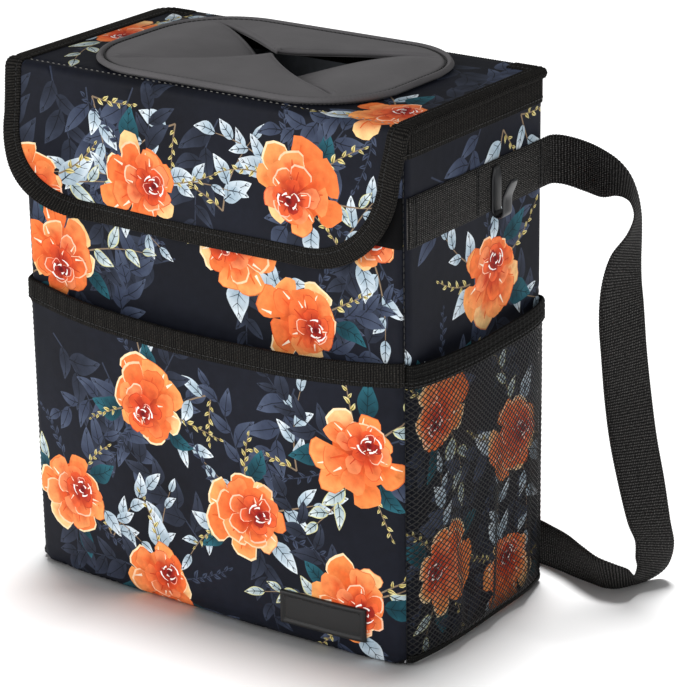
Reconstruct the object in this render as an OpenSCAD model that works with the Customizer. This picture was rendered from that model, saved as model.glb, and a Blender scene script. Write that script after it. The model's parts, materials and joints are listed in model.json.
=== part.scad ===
// Soft-sided trash bin for a car: a stiffened fabric box with a hinged lid and a hanging strap.
// Lengths are in millimetres. The origin is the middle of the base on the floor,
// X runs across the front, the front faces -Y and Z points up.

/* [Body] */
// Width of the body across the front
body_w = 240; // [200:1:300]
// Depth of the body from front to back
body_d = 126; // [110:1:180]
// Height of the body to the top of its rim
body_h = 277; // [250:1:330]
// Radius of the upright corners
corner_r = 6; // [5:0.5:12]
// Thickness of the printed outer fabric
shell_t = 1.2; // [0.6:0.1:2]
// Thickness of the stiffener boards
board_t = 2; // [1:0.1:3]
// Thickness of the waterproof liner
liner_t = 0.6; // [0.4:0.1:1.2]

/* [Rim] */
// Height of the tape that shows round the outside of the rim
rim_band_h = 13; // [8:0.5:20]
// Height of the same tape inside the rim
rim_inner_h = 10; // [6:0.5:16]
// Thickness of the binding tape
tape_t = 0.8; // [0.5:0.1:1.2]

/* [Lid] */
// How far the lid stands out past each side of the body
lid_side = 3.5; // [2:0.5:8]
// Drop of the front flap below the top of the lid
flap_h = 77; // [65:1:88]
// Radius of the lower corners of the flap
flap_r = 58; // [30:1:64]
// Radius of the fold between the lid top and the flap
fold_r = 5; // [4:0.5:10]
// Thickness of the printed fabric of the lid
lid_print_t = 1.2; // [0.6:0.1:2]
// Thickness of the black lining under the lid
lid_lining_t = 0.8; // [0.5:0.1:1.5]
// Width of the binding tape round the edge of the lid
binding_w = 10; // [7:0.5:14]
// Air gap between the closed lid and the body
lid_gap = 0.3; // [0.2:0.1:0.8]

/* [Closure tapes] */
// Thickness of the loop tape on the front of the body
loop_t = 1; // [0.6:0.1:1.4]
// Length of the loop tape
loop_len = 224; // [160:1:226]
// Thickness of the hook tape inside the flap
hook_tape_t = 0.7; // [0.4:0.1:0.8]
// Length of the hook tape
hook_tape_len = 170; // [120:1:172]

/* [Slit insert] */
// Width of the foam insert in the lid
insert_w = 180; // [150:1:190]
// Depth of the foam insert
insert_d = 122; // [106:1:124]
// Corner radius of the foam insert
insert_r = 45; // [30:1:50]
// Thickness of the foam insert
insert_t = 3; // [2:0.5:5]
// Distance of the middle of the insert to the right of the lid's middle
insert_x = -3; // [-5:0.5:5]
// Distance of the middle of the insert behind the body's middle
insert_y = 1; // [-3:0.5:1]
// How far the insert laps over the edge of the hole under it
insert_lap = 8; // [5:0.5:12]
// Width of the cut between two petals
slit_w = 1.6; // [1:0.2:3]
// Reach of each slit from the middle, along X
slit_reach_x = 66; // [50:1:70]
// Reach of each slit from the middle, along Y
slit_reach_y = 42; // [25:1:44]
// Drop of the tips of the left and right petals
petal_sag = 16; // [13:0.5:24]
// Width of the level strip at the root of those petals
petal_level = 6; // [3:0.5:12]

/* [Front pocket] */
// Height of the front pocket at its ends
pocket_h = 162; // [130:1:185]
// How much lower the pocket's top edge is in the middle
pocket_droop = 6; // [0:0.5:12]
// How far the pocket stands off the body in the middle
pocket_bulge = 9; // [7:0.5:14]
// Thickness of the pocket's fabric
pocket_t = 1.2; // [0.8:0.1:2]
// Height of the binding on the pocket's top edge
pocket_binding_h = 12; // [8:0.5:16]
// Height over which the pocket closes in towards the base seam
pocket_toe = 16; // [8:1:30]

/* [Side pockets] */
// Height of the net pockets with their elastic
net_h = 161; // [130:1:185]
// How far the net stands off the body in the middle
net_bulge = 8; // [7:0.5:14]
// Thickness of the net
net_t = 1; // [0.8:0.1:1.5]
// Meshes across the net, each as high as it is wide
net_meshes = 7; // [4:1:7]
// Width of the net's strands
net_strand = 2.4; // [1.8:0.2:3.2]
// Width of the closed hem round the meshes
net_hem = 4; // [3:0.5:6]
// Height of the elastic along the top of the net
elastic_h = 12.5; // [8:0.5:18]
// Thickness of the elastic
elastic_t = 1.8; // [1.2:0.1:2.6]

/* [Webbing and strap] */
// Width of the webbing
web_w = 25.5; // [20:0.5:30]
// Thickness of the webbing
web_t = 1.4; // [1:0.1:2]
// Distance of the webbing's upper edge below the rim
web_drop = 32; // [22:0.5:60]
// Distance of each end of the side webbing from the corner
web_inset = 2; // [1:0.5:6]

/* [Bag hooks] */
// Width of each hook
hook_w = 8; // [6:0.5:12]
// Height of the hook's back plate
hook_h = 26; // [22:0.5:30]
// Thickness of the hook's plastic
hook_t = 1.6; // [1.2:0.1:2.4]
// Free gap between the plate and the arm
hook_gap = 4.6; // [4.4:0.1:7]
// Height of the straight part of the arm
hook_arm_h = 17; // [12:0.5:20]
// Radius of the outward flare at the arm's top
hook_flare_r = 6; // [4:0.5:9]
// Angle through which the arm's top flares
hook_flare_turn = 60; // [30:5:75]
// How far the hook reaches below the webbing
hook_drop = 3; // [0:0.5:5]
// Distance of the hook behind the body's middle
hook_y = 14; // [-20:1:30]

/* [Label patch] */
// Width of the bare patch
patch_w = 50; // [30:1:70]
// Height of the bare patch
patch_h = 18; // [12:0.5:26]
// Thickness of the patch
patch_t = 1.4; // [0.8:0.1:2.4]
// Width of the raised frame round the patch
patch_frame_w = 2; // [1:0.5:4]
// Height of the raised frame
patch_frame_t = 0.7; // [0.3:0.1:1.2]
// Distance of the middle of the patch from the body's middle
patch_x = 74; // [-80:1:84]
// Height of the middle of the patch
patch_z = 20; // [14:1:60]

/* [Hidden] */

cloth_ink = "#1e2230";
tape_ink = "#131315";
foam_ink = "#4d4a4e";
board_ink = "#8d9096";
liner_ink = "#5c6066";
plastic_ink = "#232427";

arc_fn = 96;
far = 2 * (body_w + body_h);
half_w = body_w / 2;
half_d = body_d / 2;
wall_top = body_h - tape_t;
wall_t = shell_t + board_t + liner_t;
floor_top = shell_t + board_t;

web_top = body_h - web_drop;
web_z = web_top - web_w;

lid_t = lid_print_t + lid_lining_t;
lid_top = body_h + lid_gap + tape_t + lid_t;
lid_half_w = half_w + lid_side;
lid_front = -(half_d + loop_t + lid_gap + tape_t + lid_t);
lid_back = half_d + tape_t;
flap_bottom = lid_top - flap_h;

pocket_half = half_w - corner_r / 2;
side_half = half_d - corner_r / 2;
pocket_steps = 18;
toe_steps = 4;
mesh_step = (side_half - net_hem) / net_meshes;
mesh_columns = 2 * net_meshes;
mesh_rows = 2 * floor((net_h - elastic_h - net_hem - pocket_toe) / mesh_step / 2);
mesh_reach = 1 - net_strand / mesh_step / sqrt(2);
patch_draft = 0.2;
patch_seat = 0.3;
patch_steps = 6;

petal_root = slit_reach_x - petal_level;
petal_r = (petal_root * petal_root + petal_sag * petal_sag) / (2 * petal_sag);
petal_join = 1;

// Edges of the strap where it hangs free, from the right side webbing down to the floor and
// behind the body. Each station is [outer edge, inner edge], and the left half mirrors them.
// They are drawn for a body of strap_half_w and strap_half_d with its webbing at strap_top.
strap_half_w = 120;
strap_half_d = 63;
strap_top = 245;
STRAP_STATIONS = [
    [[122, 66, 245.5], [122.5, 66, 220]],
    [[128, 70, 245], [129, 69, 219.5]],
    [[138, 72.5, 243], [140, 70, 217.5]],
    [[147, 74, 240], [154, 62, 219]],
    [[154, 77, 235], [165, 57, 223]],
    [[160, 79, 228], [171, 56, 223]],
    [[164, 80, 219], [174, 57, 220]],
    [[166, 81, 208], [175, 58, 213]],
    [[166, 82, 196], [171, 58, 203]],
    [[166, 82, 183], [162, 58, 190]],
    [[166, 83, 171], [156, 60, 173]],
    [[167, 84, 158], [153, 63, 153]],
    [[168, 86, 135], [153, 66, 131]],
    [[170, 88, 111], [153, 70, 107]],
    [[173, 90, 85], [156, 71, 84]],
    [[177, 92, 61], [161, 72, 61]],
    [[180, 94, 38], [167, 72, 41]],
    [[181, 97, 24], [170, 75, 30]],
    [[178, 99, 12], [170, 76, 20]],
    [[173, 99, 4], [171, 76, 15]],
    [[168, 92, 1], [173, 69, 13]],
    [[164, 82, 1], [172, 65, 18]],
    [[160, 75, 1], [166, 61, 21]],
    [[154, 72, 1], [156, 60, 23]],
    [[146, 73, 1], [144, 64, 25]],
    [[134, 75, 1], [132, 70, 26]],
    [[121, 78, 1], [120, 75, 26]],
    [[105, 80, 1], [105, 79, 26.5]],
    [[80, 81, 1], [80, 81, 26.5]],
    [[40, 80, 1], [40, 80, 26.5]],
    [[0, 79, 1], [0, 79, 26.5]]
];

// A closed skin through rings of points. A ring goes up one face and comes back down the other,
// and the flat ends are closed between those two faces.
module loft(rings) {
    count = len(rings[0]);
    last = (len(rings) - 1) * count;
    polyhedron(
        points = [for (ring = rings) each ring],
        faces = concat(
            [for (j = [0:count / 2 - 2]) [j, j + 1, count - 2 - j, count - 1 - j]],
            [for (i = [0:count:last - count], j = [0:count - 1]) let (k = (j + 1) % count)
                each [[i + j, i + count + j, i + k], [i + k, i + count + j, i + count + k]]],
            [for (j = [0:count / 2 - 2])
                [last + count - 1 - j, last + count - 2 - j, last + j + 1, last + j]]));
}

// A rectangle with round corners, drawn about its middle
module rounded(w, d, r) {
    square([w - 2 * r, d], center = true);
    square([w, d - 2 * r], center = true);
    for (x = [-1, 1], y = [-1, 1])
        translate([x * (w / 2 - r), y * (d / 2 - r)]) circle(r, $fn = arc_fn);
}

// The body's outline moved inwards by a depth
module body_outline(depth) {
    rounded(body_w - 2 * depth, body_d - 2 * depth, max(corner_r - depth, 1));
}

module body_ring(depth, thick, low, high) {
    translate([0, 0, low]) linear_extrude(high - low) difference() {
        body_outline(depth);
        body_outline(depth + thick);
    }
}

// One wall of the outer fabric, cut from the ring at the middle of its corners
module wall_panel(turn, across, along) {
    mid_x = across / 2 - corner_r;
    mid_y = along / 2 - corner_r;
    reach = corner_r + 1;
    intersection() {
        body_ring(0, shell_t, shell_t, wall_top);
        rotate(turn) linear_extrude(body_h) polygon([
            [-mid_x, -mid_y], [-mid_x - reach, -mid_y - reach],
            [mid_x + reach, -mid_y - reach], [mid_x, -mid_y]]);
    }
}

module front_panel() { color(cloth_ink) wall_panel(0, body_w, body_d); }
module back_panel() { color(cloth_ink) wall_panel(180, body_w, body_d); }
module right_panel() { color(cloth_ink) wall_panel(90, body_d, body_w); }
module left_panel() { color(cloth_ink) wall_panel(-90, body_d, body_w); }
module base_panel() { color(cloth_ink) linear_extrude(shell_t) body_outline(0); }

// Boards that keep the walls flat, standing on the base board behind the fabric
module long_board() {
    color(board_ink) translate([corner_r - half_w, half_d - shell_t - board_t, floor_top])
        cube([body_w - 2 * corner_r, board_t, wall_top - floor_top]);
}
module end_board() {
    color(board_ink) translate([half_w - shell_t - board_t, corner_r - half_d, floor_top])
        cube([board_t, body_d - 2 * corner_r, wall_top - floor_top]);
}
module back_board() { long_board(); }
module front_board() { mirror([0, 1, 0]) long_board(); }
module right_board() { end_board(); }
module left_board() { mirror([1, 0, 0]) end_board(); }
module base_board() {
    color(board_ink) translate([0, 0, shell_t]) linear_extrude(board_t) body_outline(shell_t);
}

module liner() {
    color(liner_ink) {
        translate([0, 0, floor_top]) linear_extrude(liner_t) body_outline(floor_top);
        body_ring(floor_top, liner_t, floor_top, wall_top);
    }
}

// Tape folded over the top edge of the walls
module rim_band() {
    color(tape_ink) {
        body_ring(-tape_t, tape_t, body_h - rim_band_h, body_h);
        body_ring(-tape_t, wall_t + 2 * tape_t, wall_top, body_h);
        body_ring(wall_t, tape_t, body_h - rim_inner_h, body_h);
    }
}

module front_loop_tape() {
    color(tape_ink) translate([-loop_len / 2, -half_d - loop_t, web_z])
        cube([loop_len, loop_t, web_w]);
}

// Share of a pocket's full bulge at a place across it, from -1 to 1
function crown(s) = 1 - pow(abs(s), 3);
// Share of a pocket's full bulge at a height, closing to the wall at the base seam
function toe(z) = z >= pocket_toe ? 1 : sqrt(1 - pow(1 - z / pocket_toe, 2));
function droop(s) = pocket_droop * (1 - s * s);
function pocket_off(x, z) = pocket_bulge * crown(x / pocket_half) * toe(z);

// Heights of the points up a pocket's wall: close together in the toe
function levels(low, high) = low >= pocket_toe
    ? [low, high]
    : concat([for (i = [0:toe_steps - 1]) pocket_toe * (1 - cos(90 * i / toe_steps))],
        [pocket_toe, (pocket_toe + high) / 2, high]);

// One upright section of a pocket wall: outer face going up, inner face coming down
function wall_section(x, half, bulge, thick, low, high) = let (
        share = bulge * crown(x / half), heights = levels(low, high), top = len(heights) - 1)
    concat(
        [for (z = heights) [x, -share * toe(z) - thick, z]],
        [for (i = [top:-1:0]) [x, -share * toe(heights[i]), heights[i]]]);

function crossing(half, i) = half * (2 * i / pocket_steps - 1);

module front_pocket() {
    top = pocket_h - pocket_binding_h;
    color(cloth_ink) translate([0, -half_d, 0]) loft([
        for (i = [0:pocket_steps]) let (x = crossing(pocket_half, i))
            wall_section(x, pocket_half, pocket_bulge, pocket_t, 0, top - droop(x / pocket_half))]);
}

// Tape folded over the top edge of the front pocket
module front_pocket_binding() {
    color(tape_ink) translate([0, -half_d, 0]) loft([
        for (i = [0:pocket_steps]) let (
            x = crossing(pocket_half, i),
            y = -pocket_off(x, pocket_toe),
            high = pocket_h - droop(x / pocket_half))
        [[x, y - pocket_t - tape_t, high - pocket_binding_h], [x, y - pocket_t - tape_t, high],
            [x, y, high], [x, y, high - pocket_binding_h]]]);
}

// The net's diamonds sit on a grid of half meshes, in each column i and row j where i + j is even.
// Those on the grid's border are closed. A diamond's corners go right, bottom, left and top.
DIAMOND = [[1, 0], [0, -1], [-1, 0], [0, 1]];
diamond_points = 2 * ((mesh_columns + 1) * (mesh_rows + 1) + 1);
function grid_x(i) = min(max(i, 0), mesh_columns) * mesh_step + net_hem - side_half;
function grid_z(j) = min(max(j, 0), mesh_rows) * mesh_step + pocket_toe;
function right_of(i, j) = 2 * (i * (mesh_rows + 1) + j);
function below(i, j) = right_of(i, j) + 1;
function left_of(i, j) = right_of(i, j) + 2;
function above(i, j) = right_of(i, j) + 3;

// Places of the net's sections across it: its ends, the grid's ends and the diamonds' side corners
NET_SECTIONS = concat([-side_half, grid_x(0), grid_x(mesh_reach)],
    [for (i = [2:2:mesh_columns - 2]) each [grid_x(i - mesh_reach), grid_x(i + mesh_reach)]],
    [grid_x(mesh_columns - mesh_reach), grid_x(mesh_columns), side_half]);
net_sections = len(NET_SECTIONS);

// Points of one face of the net: its diamonds, the toe, the ends of the grid and the top edge
function net_points(thick) = let (
        place = function(x, z) [x, -net_bulge * crown(x / side_half) * toe(z) - thick, z],
        heights = levels(0, net_h - elastic_h))
    concat(
        [for (i = [0:mesh_columns], j = [0:mesh_rows]) if ((i + j) % 2 == 0) each
            [for (way = DIAMOND) place(grid_x(i + mesh_reach * way[0]), grid_z(j + mesh_reach * way[1]))]],
        [for (r = [0:toe_steps - 1], x = NET_SECTIONS) place(x, heights[r])],
        [for (j = [0, mesh_rows], x = [-side_half, side_half]) place(x, grid_z(j))],
        [for (x = NET_SECTIONS) place(x, net_h - elastic_h)]);

// Corners along the grid's bottom or top row, and up its left or right column
function grid_row(j) = concat([left_of(0, j), right_of(0, j)],
    [for (i = [2:2:mesh_columns - 2]) each [left_of(i, j), right_of(i, j)]],
    [left_of(mesh_columns, j), right_of(mesh_columns, j)]);
function grid_column(i, corner) = concat([corner(i, 0), above(i, 0)],
    [for (j = [2:2:mesh_rows - 2]) each [below(i, j), above(i, j)]],
    [below(i, mesh_rows), corner(i, mesh_rows)]);

// Rows of points from the net's foot to its top edge
grid_ends = diamond_points + toe_steps * net_sections;
NET_ROWS = concat(
    [for (r = [0:toe_steps - 1]) [for (k = [0:net_sections - 1]) diamond_points + r * net_sections + k]],
    [concat([grid_ends], grid_row(0), [grid_ends + 1])],
    [concat([grid_ends + 2], grid_row(mesh_rows), [grid_ends + 3])],
    [[for (k = [0:net_sections - 1]) grid_ends + 4 + k]]);

function closed(i, j) = i == 0 || i == mesh_columns || j == 0 || j == mesh_rows;
function at_corner(i, j) = i % mesh_columns == 0 && j % mesh_rows == 0;
function diamond(i, j) = concat(
    i < mesh_columns || at_corner(i, j) ? [right_of(i, j)] : [], j > 0 ? [below(i, j)] : [],
    i > 0 || at_corner(i, j) ? [left_of(i, j)] : [], j < mesh_rows ? [above(i, j)] : []);
// The knot where strands cross, between the diamonds around it
function knot(i, j) = concat(
    j > 0 ? [above(i, j - 1)] : [], i > 0 ? [right_of(i - 1, j)] : [],
    j < mesh_rows ? [below(i, j + 1)] : [], i < mesh_columns ? [left_of(i + 1, j)] : []);
function in_threes(ring) = [for (k = [1:len(ring) - 2]) [ring[0], ring[k], ring[k + 1]]];
function turned(face) = [for (k = [len(face) - 1:-1:0]) face[k]];

// Triangles of one face of the net
function net_faces() = let (
        left = grid_column(0, function(i, j) left_of(i, j)),
        right = grid_column(mesh_columns, function(i, j) right_of(i, j)))
    concat(
        [for (i = [0:mesh_columns], j = [0:mesh_rows]) if ((i + j) % 2 == 0)
            each closed(i, j) ? in_threes(diamond(i, j)) : []],
        [for (i = [0:mesh_columns], j = [0:mesh_rows]) if ((i + j) % 2 == 1) each in_threes(knot(i, j))],
        [for (i = [0:mesh_columns - 1], j = [0:mesh_rows - 1]) if ((i + j) % 2 == 0)
            each in_threes([above(i, j), left_of(i + 1, j + 1), below(i + 1, j + 1), right_of(i, j)])],
        [for (i = [0:mesh_columns - 1], j = [1:mesh_rows]) if ((i + j) % 2 == 0)
            each in_threes([right_of(i, j), above(i + 1, j - 1), left_of(i + 1, j - 1), below(i, j)])],
        in_threes(concat([grid_ends, grid_ends + 2], turned(left))),
        in_threes(concat([grid_ends + 1], right, [grid_ends + 3])),
        [for (r = [0:toe_steps + 1], k = [0:net_sections - 2])
            let (low = NET_ROWS[r], high = NET_ROWS[r + 1]) if (r != toe_steps)
                each in_threes([low[k], high[k], high[k + 1], low[k + 1]])]);

// The net, with diamonds through it and its two faces joined round its edge
module net_wall() {
    outside = net_points(net_t);
    inside = len(outside);
    ends = net_sections - 1;
    top = NET_ROWS[len(NET_ROWS) - 1];
    edge = concat(
        NET_ROWS[0], [for (row = NET_ROWS) row[ends]], turned(top), turned([for (row = NET_ROWS) row[0]]));
    rim = [for (k = [0:len(edge) - 1]) [edge[k], edge[(k + 1) % len(edge)]]];
    holes = [for (i = [1:mesh_columns - 1], j = [1:mesh_rows - 1]) if ((i + j) % 2 == 0)
        let (ring = diamond(i, j)) each [for (k = [0:3]) [ring[k], ring[(k + 1) % 4]]]];
    polyhedron(
        points = concat(outside, net_points(0)),
        faces = concat(
            net_faces(),
            [for (face = net_faces()) [for (p = turned(face)) p + inside]],
            [for (side = concat([for (s = rim) if (s[0] != s[1]) s], holes))
                [side[0], side[1], side[1] + inside, side[0] + inside]]));
}

// A net pocket for the right side
module net_pocket() {
    color(tape_ink) translate([half_w, 0, 0]) rotate(90) net_wall();
}
module right_net_pocket() { net_pocket(); }
module left_net_pocket() { mirror([1, 0, 0]) net_pocket(); }

module pocket_elastic() {
    color(tape_ink) translate([half_w, 0, 0]) rotate(90)
        loft([for (x = NET_SECTIONS)
            wall_section(x, side_half, net_bulge, elastic_t, net_h - elastic_h, net_h)]);
}
module right_elastic() { pocket_elastic(); }
module left_elastic() { mirror([1, 0, 0]) pocket_elastic(); }

module side_webbing() {
    color(tape_ink) translate([half_w, web_inset - half_d, web_z])
        cube([web_t, body_d - 2 * web_inset, web_w]);
}
module right_webbing() { side_webbing(); }
module left_webbing() { mirror([1, 0, 0]) side_webbing(); }

// A J-shaped hook on the right webbing, drawn in section and drawn out along Y
module bag_hook() {
    bend_r = hook_gap / 2 + hook_t;
    arm_x = hook_t + hook_gap;
    flare_x = arm_x + hook_t + hook_flare_r;
    color(plastic_ink) translate([half_w + web_t, hook_y + hook_w / 2, web_z - hook_drop])
        rotate([90, 0, 0]) linear_extrude(hook_w) {
            translate([0, bend_r]) square([hook_t, hook_h - bend_r]);
            translate([arm_x, bend_r]) square([hook_t, hook_arm_h - bend_r]);
            difference() {
                translate([bend_r, bend_r]) circle(bend_r, $fn = arc_fn);
                translate([bend_r, bend_r]) circle(hook_gap / 2, $fn = arc_fn);
                translate([0, bend_r]) square(2 * bend_r);
            }
            intersection() {
                translate([flare_x, hook_arm_h]) difference() {
                    circle(hook_flare_r + hook_t, $fn = arc_fn);
                    circle(hook_flare_r, $fn = arc_fn);
                }
                translate([flare_x, hook_arm_h])
                    polygon([[0, 0], [-far, 0], [-far, far * tan(hook_flare_turn)]]);
            }
        }
}
module right_bag_hook() { bag_hook(); }
module left_bag_hook() { mirror([1, 0, 0]) bag_hook(); }

function unit(v) = v / norm(v);
function flip_x(p) = [-p[0], p[1], p[2]];

// A station's point moved to suit the body: it stays as far behind it and hangs from the webbing
function strap_place(p) = [
    p[0] * half_w / strap_half_w, p[1] + half_d - strap_half_d, p[2] * web_top / strap_top];

// A ring of the strap: both edges, each with its thickness
function strap_ring(edges, along) = let (
        face = unit(cross(along, edges[1] - edges[0])) * web_t / 2)
    [edges[0] + face, edges[1] + face, edges[1] - face, edges[0] - face];

module strap() {
    start_y = half_d - web_inset;
    start = [for (z = [web_top, web_z]) [half_w + web_t / 2, start_y, z]];
    right = concat([start], [for (edges = STRAP_STATIONS) [for (p = edges) strap_place(p)]]);
    whole = concat(right, [for (i = [len(right) - 2:-1:0]) [flip_x(right[i][0]), flip_x(right[i][1])]]);
    last = len(whole) - 1;
    middles = [for (edges = whole) (edges[0] + edges[1]) / 2];
    heading = [for (i = [0:last])
        i == 0 ? [0, 1, 0] : i == last ? [0, -1, 0] : middles[i + 1] - middles[i - 1]];
    color(tape_ink) loft([for (i = [0:last]) strap_ring(whole[i], heading[i])]);
}

// A plain rubber patch with a raised frame, lying on the curve of the front pocket
module label_patch() {
    low = patch_z - patch_h / 2;
    high = patch_z + patch_h / 2;
    field = [low, low + patch_frame_w, low + patch_frame_w + patch_draft,
        high - patch_frame_w - patch_draft, high - patch_frame_w, high];
    half = patch_w / 2;
    bay = half - patch_frame_w - patch_draft;
    columns = concat(
        [[patch_x - half, 1], [patch_x - half + patch_frame_w, 1]],
        [for (i = [0:patch_steps]) [patch_x - bay + 2 * bay * i / patch_steps, 0]],
        [[patch_x + half - patch_frame_w, 1], [patch_x + half, 1]]);
    color(tape_ink) translate([0, -half_d - pocket_t - patch_seat, 0]) loft([
        for (column = columns) let (x = column[0], raised = column[1]) concat(
            [for (i = [0:5]) let (on_frame = i < 2 || i > 3 || raised == 1)
                [x, -pocket_off(x, field[i]) - patch_t - (on_frame ? patch_frame_t : 0), field[i]]],
            [for (i = [5:-1:0]) [x, -pocket_off(x, field[i]), field[i]]])]);
}

// Section of the lid at a depth under its surface: everything below that surface
module lid_block(depth, spread) {
    r = fold_r - depth;
    y = lid_front + depth;
    z = lid_top - depth;
    low = flap_bottom - spread;
    translate([y + r, low]) square([lid_back + spread - y - r, z - low]);
    translate([y, low]) square([r + 1, z - r - low]);
    translate([y + r, z - r]) circle(r, $fn = arc_fn);
}

// A layer of the lid between two depths, bent over the front and as long as asked
module lid_layer(from, to, half, low) {
    rotate([90, 0, 90]) linear_extrude(2 * half, center = true) intersection() {
        difference() {
            lid_block(from, binding_w);
            lid_block(to, far);
        }
        translate([lid_front - far, low]) square([far + lid_back - lid_front, 2 * far]);
    }
}

// Front view of the lid with its lower corners rounded, grown or shrunk by an offset
module flap_outline(grow) {
    half = lid_half_w + grow;
    low = flap_bottom - grow;
    r = flap_r + grow;
    rotate([90, 0, 0]) linear_extrude(far, center = true) {
        translate([-half, low + r]) square([2 * half, lid_top + far - low]);
        translate([r - half, low]) square([2 * (half - r), r + 1]);
        for (x = [-1, 1]) translate([x * (half - r), low + r]) circle(r, $fn = arc_fn);
    }
}

module insert_outline(inset) {
    translate([insert_x, insert_y])
        rounded(insert_w - 2 * inset, insert_d - 2 * inset, insert_r - inset);
}

module lid_blank(from, to) {
    intersection() {
        lid_layer(from, to, lid_half_w, flap_bottom);
        flap_outline(0);
    }
}

// A layer of the lid with the hole that the insert covers
module lid_sheet(from, to) {
    difference() {
        lid_blank(from, to);
        translate([0, 0, body_h - far]) linear_extrude(2 * far) insert_outline(insert_lap);
    }
}

module lid_panel() { color(cloth_ink) lid_sheet(0, lid_print_t); }
module lid_lining() { color(tape_ink) lid_sheet(lid_print_t, lid_t); }

// The space that the rim takes up under the closed lid, with its air gap
module rim_room() {
    translate([0, 0, body_h - rim_band_h])
        linear_extrude(rim_band_h + lid_gap) body_outline(-tape_t - lid_gap);
}

// Tape folded round the sides of the lid and the edge of the flap
module lid_binding() {
    color(tape_ink) difference() {
        intersection() {
            lid_layer(-tape_t, lid_t + tape_t, lid_half_w + tape_t, flap_bottom - tape_t);
            flap_outline(tape_t);
        }
        flap_outline(-binding_w);
        lid_blank(0, lid_t);
        rim_room();
    }
}

module flap_hook_tape() {
    color(tape_ink) translate([-hook_tape_len / 2, lid_front + lid_t, web_z])
        cube([hook_tape_len, hook_tape_t, web_w]);
}

// Outline of the left or right petal, shrunk or grown by an offset
module petal_outline(grow) {
    slope = slit_reach_y / slit_reach_x;
    back = grow * sqrt(1 + slope * slope) / slope;
    wide = (slit_reach_x + back) * slope;
    polygon([[-back, 0], [slit_reach_x, wide], [slit_reach_x, -wide]]);
}

// The right petal: level at its root and bent down along an arc towards its tip
module sagging_petal() {
    rotate([90, 0, 0]) linear_extrude(insert_d, center = true) {
        translate([petal_root, 0]) square([slit_reach_x + petal_join - petal_root, insert_t]);
        intersection() {
            translate([petal_root, -petal_r]) difference() {
                circle(petal_r + insert_t, $fn = 4 * arc_fn);
                circle(petal_r, $fn = 4 * arc_fn);
            }
            translate([-insert_w / 4, -petal_r])
                square([petal_root + insert_w / 4, petal_r + insert_t]);
        }
    }
}

module petal_clip() {
    linear_extrude(far, center = true) {
        petal_outline(-slit_w / 2);
        translate([slit_reach_x - petal_join, slit_w - slit_reach_y])
            square([2 * petal_join, 2 * (slit_reach_y - slit_w)]);
    }
}

// Foam sheet sewn over the hole in the lid, cut by an X-shaped slit into four petals
module slit_insert() {
    color(foam_ink) translate([0, 0, lid_top]) {
        difference() {
            linear_extrude(insert_t) insert_outline(0);
            for (side = [0, 180]) translate([insert_x, insert_y, -1]) rotate(side)
                linear_extrude(insert_t + 2) petal_outline(slit_w / 2);
        }
        for (side = [0, 180]) translate([insert_x, insert_y, 0]) rotate(side) intersection() {
            sagging_petal();
            petal_clip();
        }
    }
}

front_panel();
back_panel();
left_panel();
right_panel();
base_panel();
front_board();
back_board();
left_board();
right_board();
base_board();
liner();
rim_band();
front_loop_tape();
front_pocket();
front_pocket_binding();
left_net_pocket();
right_net_pocket();
left_elastic();
right_elastic();
left_webbing();
right_webbing();
left_bag_hook();
right_bag_hook();
strap();
label_patch();
lid_panel();
lid_lining();
lid_binding();
flap_hook_tape();
slit_insert();
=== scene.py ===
"""A soft-sided trash bin for a car, dressed over its solids.

The cloth print is drawn as flat shapes in millimetres and cut into panels, tapes are lofted with
their cross ribs, and stitches, ribs and net follow Geometry Nodes. All lengths are in metres,
apart from the cloth's own drawing, which is in millimetres.
"""
from __future__ import annotations

import json
import logging
import math
import random
from dataclasses import dataclass, field
from enum import Enum
from typing import Callable, ClassVar, Sequence

import bmesh
import bpy
from mathutils import Matrix, Vector, geometry, noise

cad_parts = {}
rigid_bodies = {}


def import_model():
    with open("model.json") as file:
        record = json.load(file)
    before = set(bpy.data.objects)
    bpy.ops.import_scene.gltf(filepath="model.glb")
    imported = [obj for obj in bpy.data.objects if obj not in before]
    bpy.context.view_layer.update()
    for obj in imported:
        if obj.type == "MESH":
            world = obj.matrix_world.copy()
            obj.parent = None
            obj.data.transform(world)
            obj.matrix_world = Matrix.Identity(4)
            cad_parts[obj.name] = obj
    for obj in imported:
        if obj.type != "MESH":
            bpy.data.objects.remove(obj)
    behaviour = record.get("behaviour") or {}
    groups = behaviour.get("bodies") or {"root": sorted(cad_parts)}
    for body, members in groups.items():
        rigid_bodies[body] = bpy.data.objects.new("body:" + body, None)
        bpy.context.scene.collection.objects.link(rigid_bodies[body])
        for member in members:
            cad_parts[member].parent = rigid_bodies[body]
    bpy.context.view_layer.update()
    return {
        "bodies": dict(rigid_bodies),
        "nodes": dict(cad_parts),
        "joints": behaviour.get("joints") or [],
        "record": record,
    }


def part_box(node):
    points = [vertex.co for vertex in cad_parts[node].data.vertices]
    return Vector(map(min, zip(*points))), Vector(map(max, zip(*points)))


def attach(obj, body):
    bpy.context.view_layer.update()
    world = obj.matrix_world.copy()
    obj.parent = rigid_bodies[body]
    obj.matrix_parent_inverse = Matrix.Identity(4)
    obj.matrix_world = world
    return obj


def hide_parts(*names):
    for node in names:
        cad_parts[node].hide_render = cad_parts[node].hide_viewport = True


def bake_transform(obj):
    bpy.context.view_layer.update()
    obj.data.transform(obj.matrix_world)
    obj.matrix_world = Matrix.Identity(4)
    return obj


LOG = logging.getLogger("trash_bin")
MM = 0.001
WELD = 0.004  # Points of a cut closer than this, in millimetres, become one.
TAU = 2 * math.pi

Point = tuple[float, float]
Tint = tuple[float, float, float]
Place = Callable[[float, float, float], Vector]


class Body(Enum):
    """The two bodies that the lid's hinge joins."""

    BIN = "bin"
    LID = "lid"


class Side(Enum):
    """The side of the bin that a mirrored piece sits on."""

    RIGHT = 1
    LEFT = -1


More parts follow.
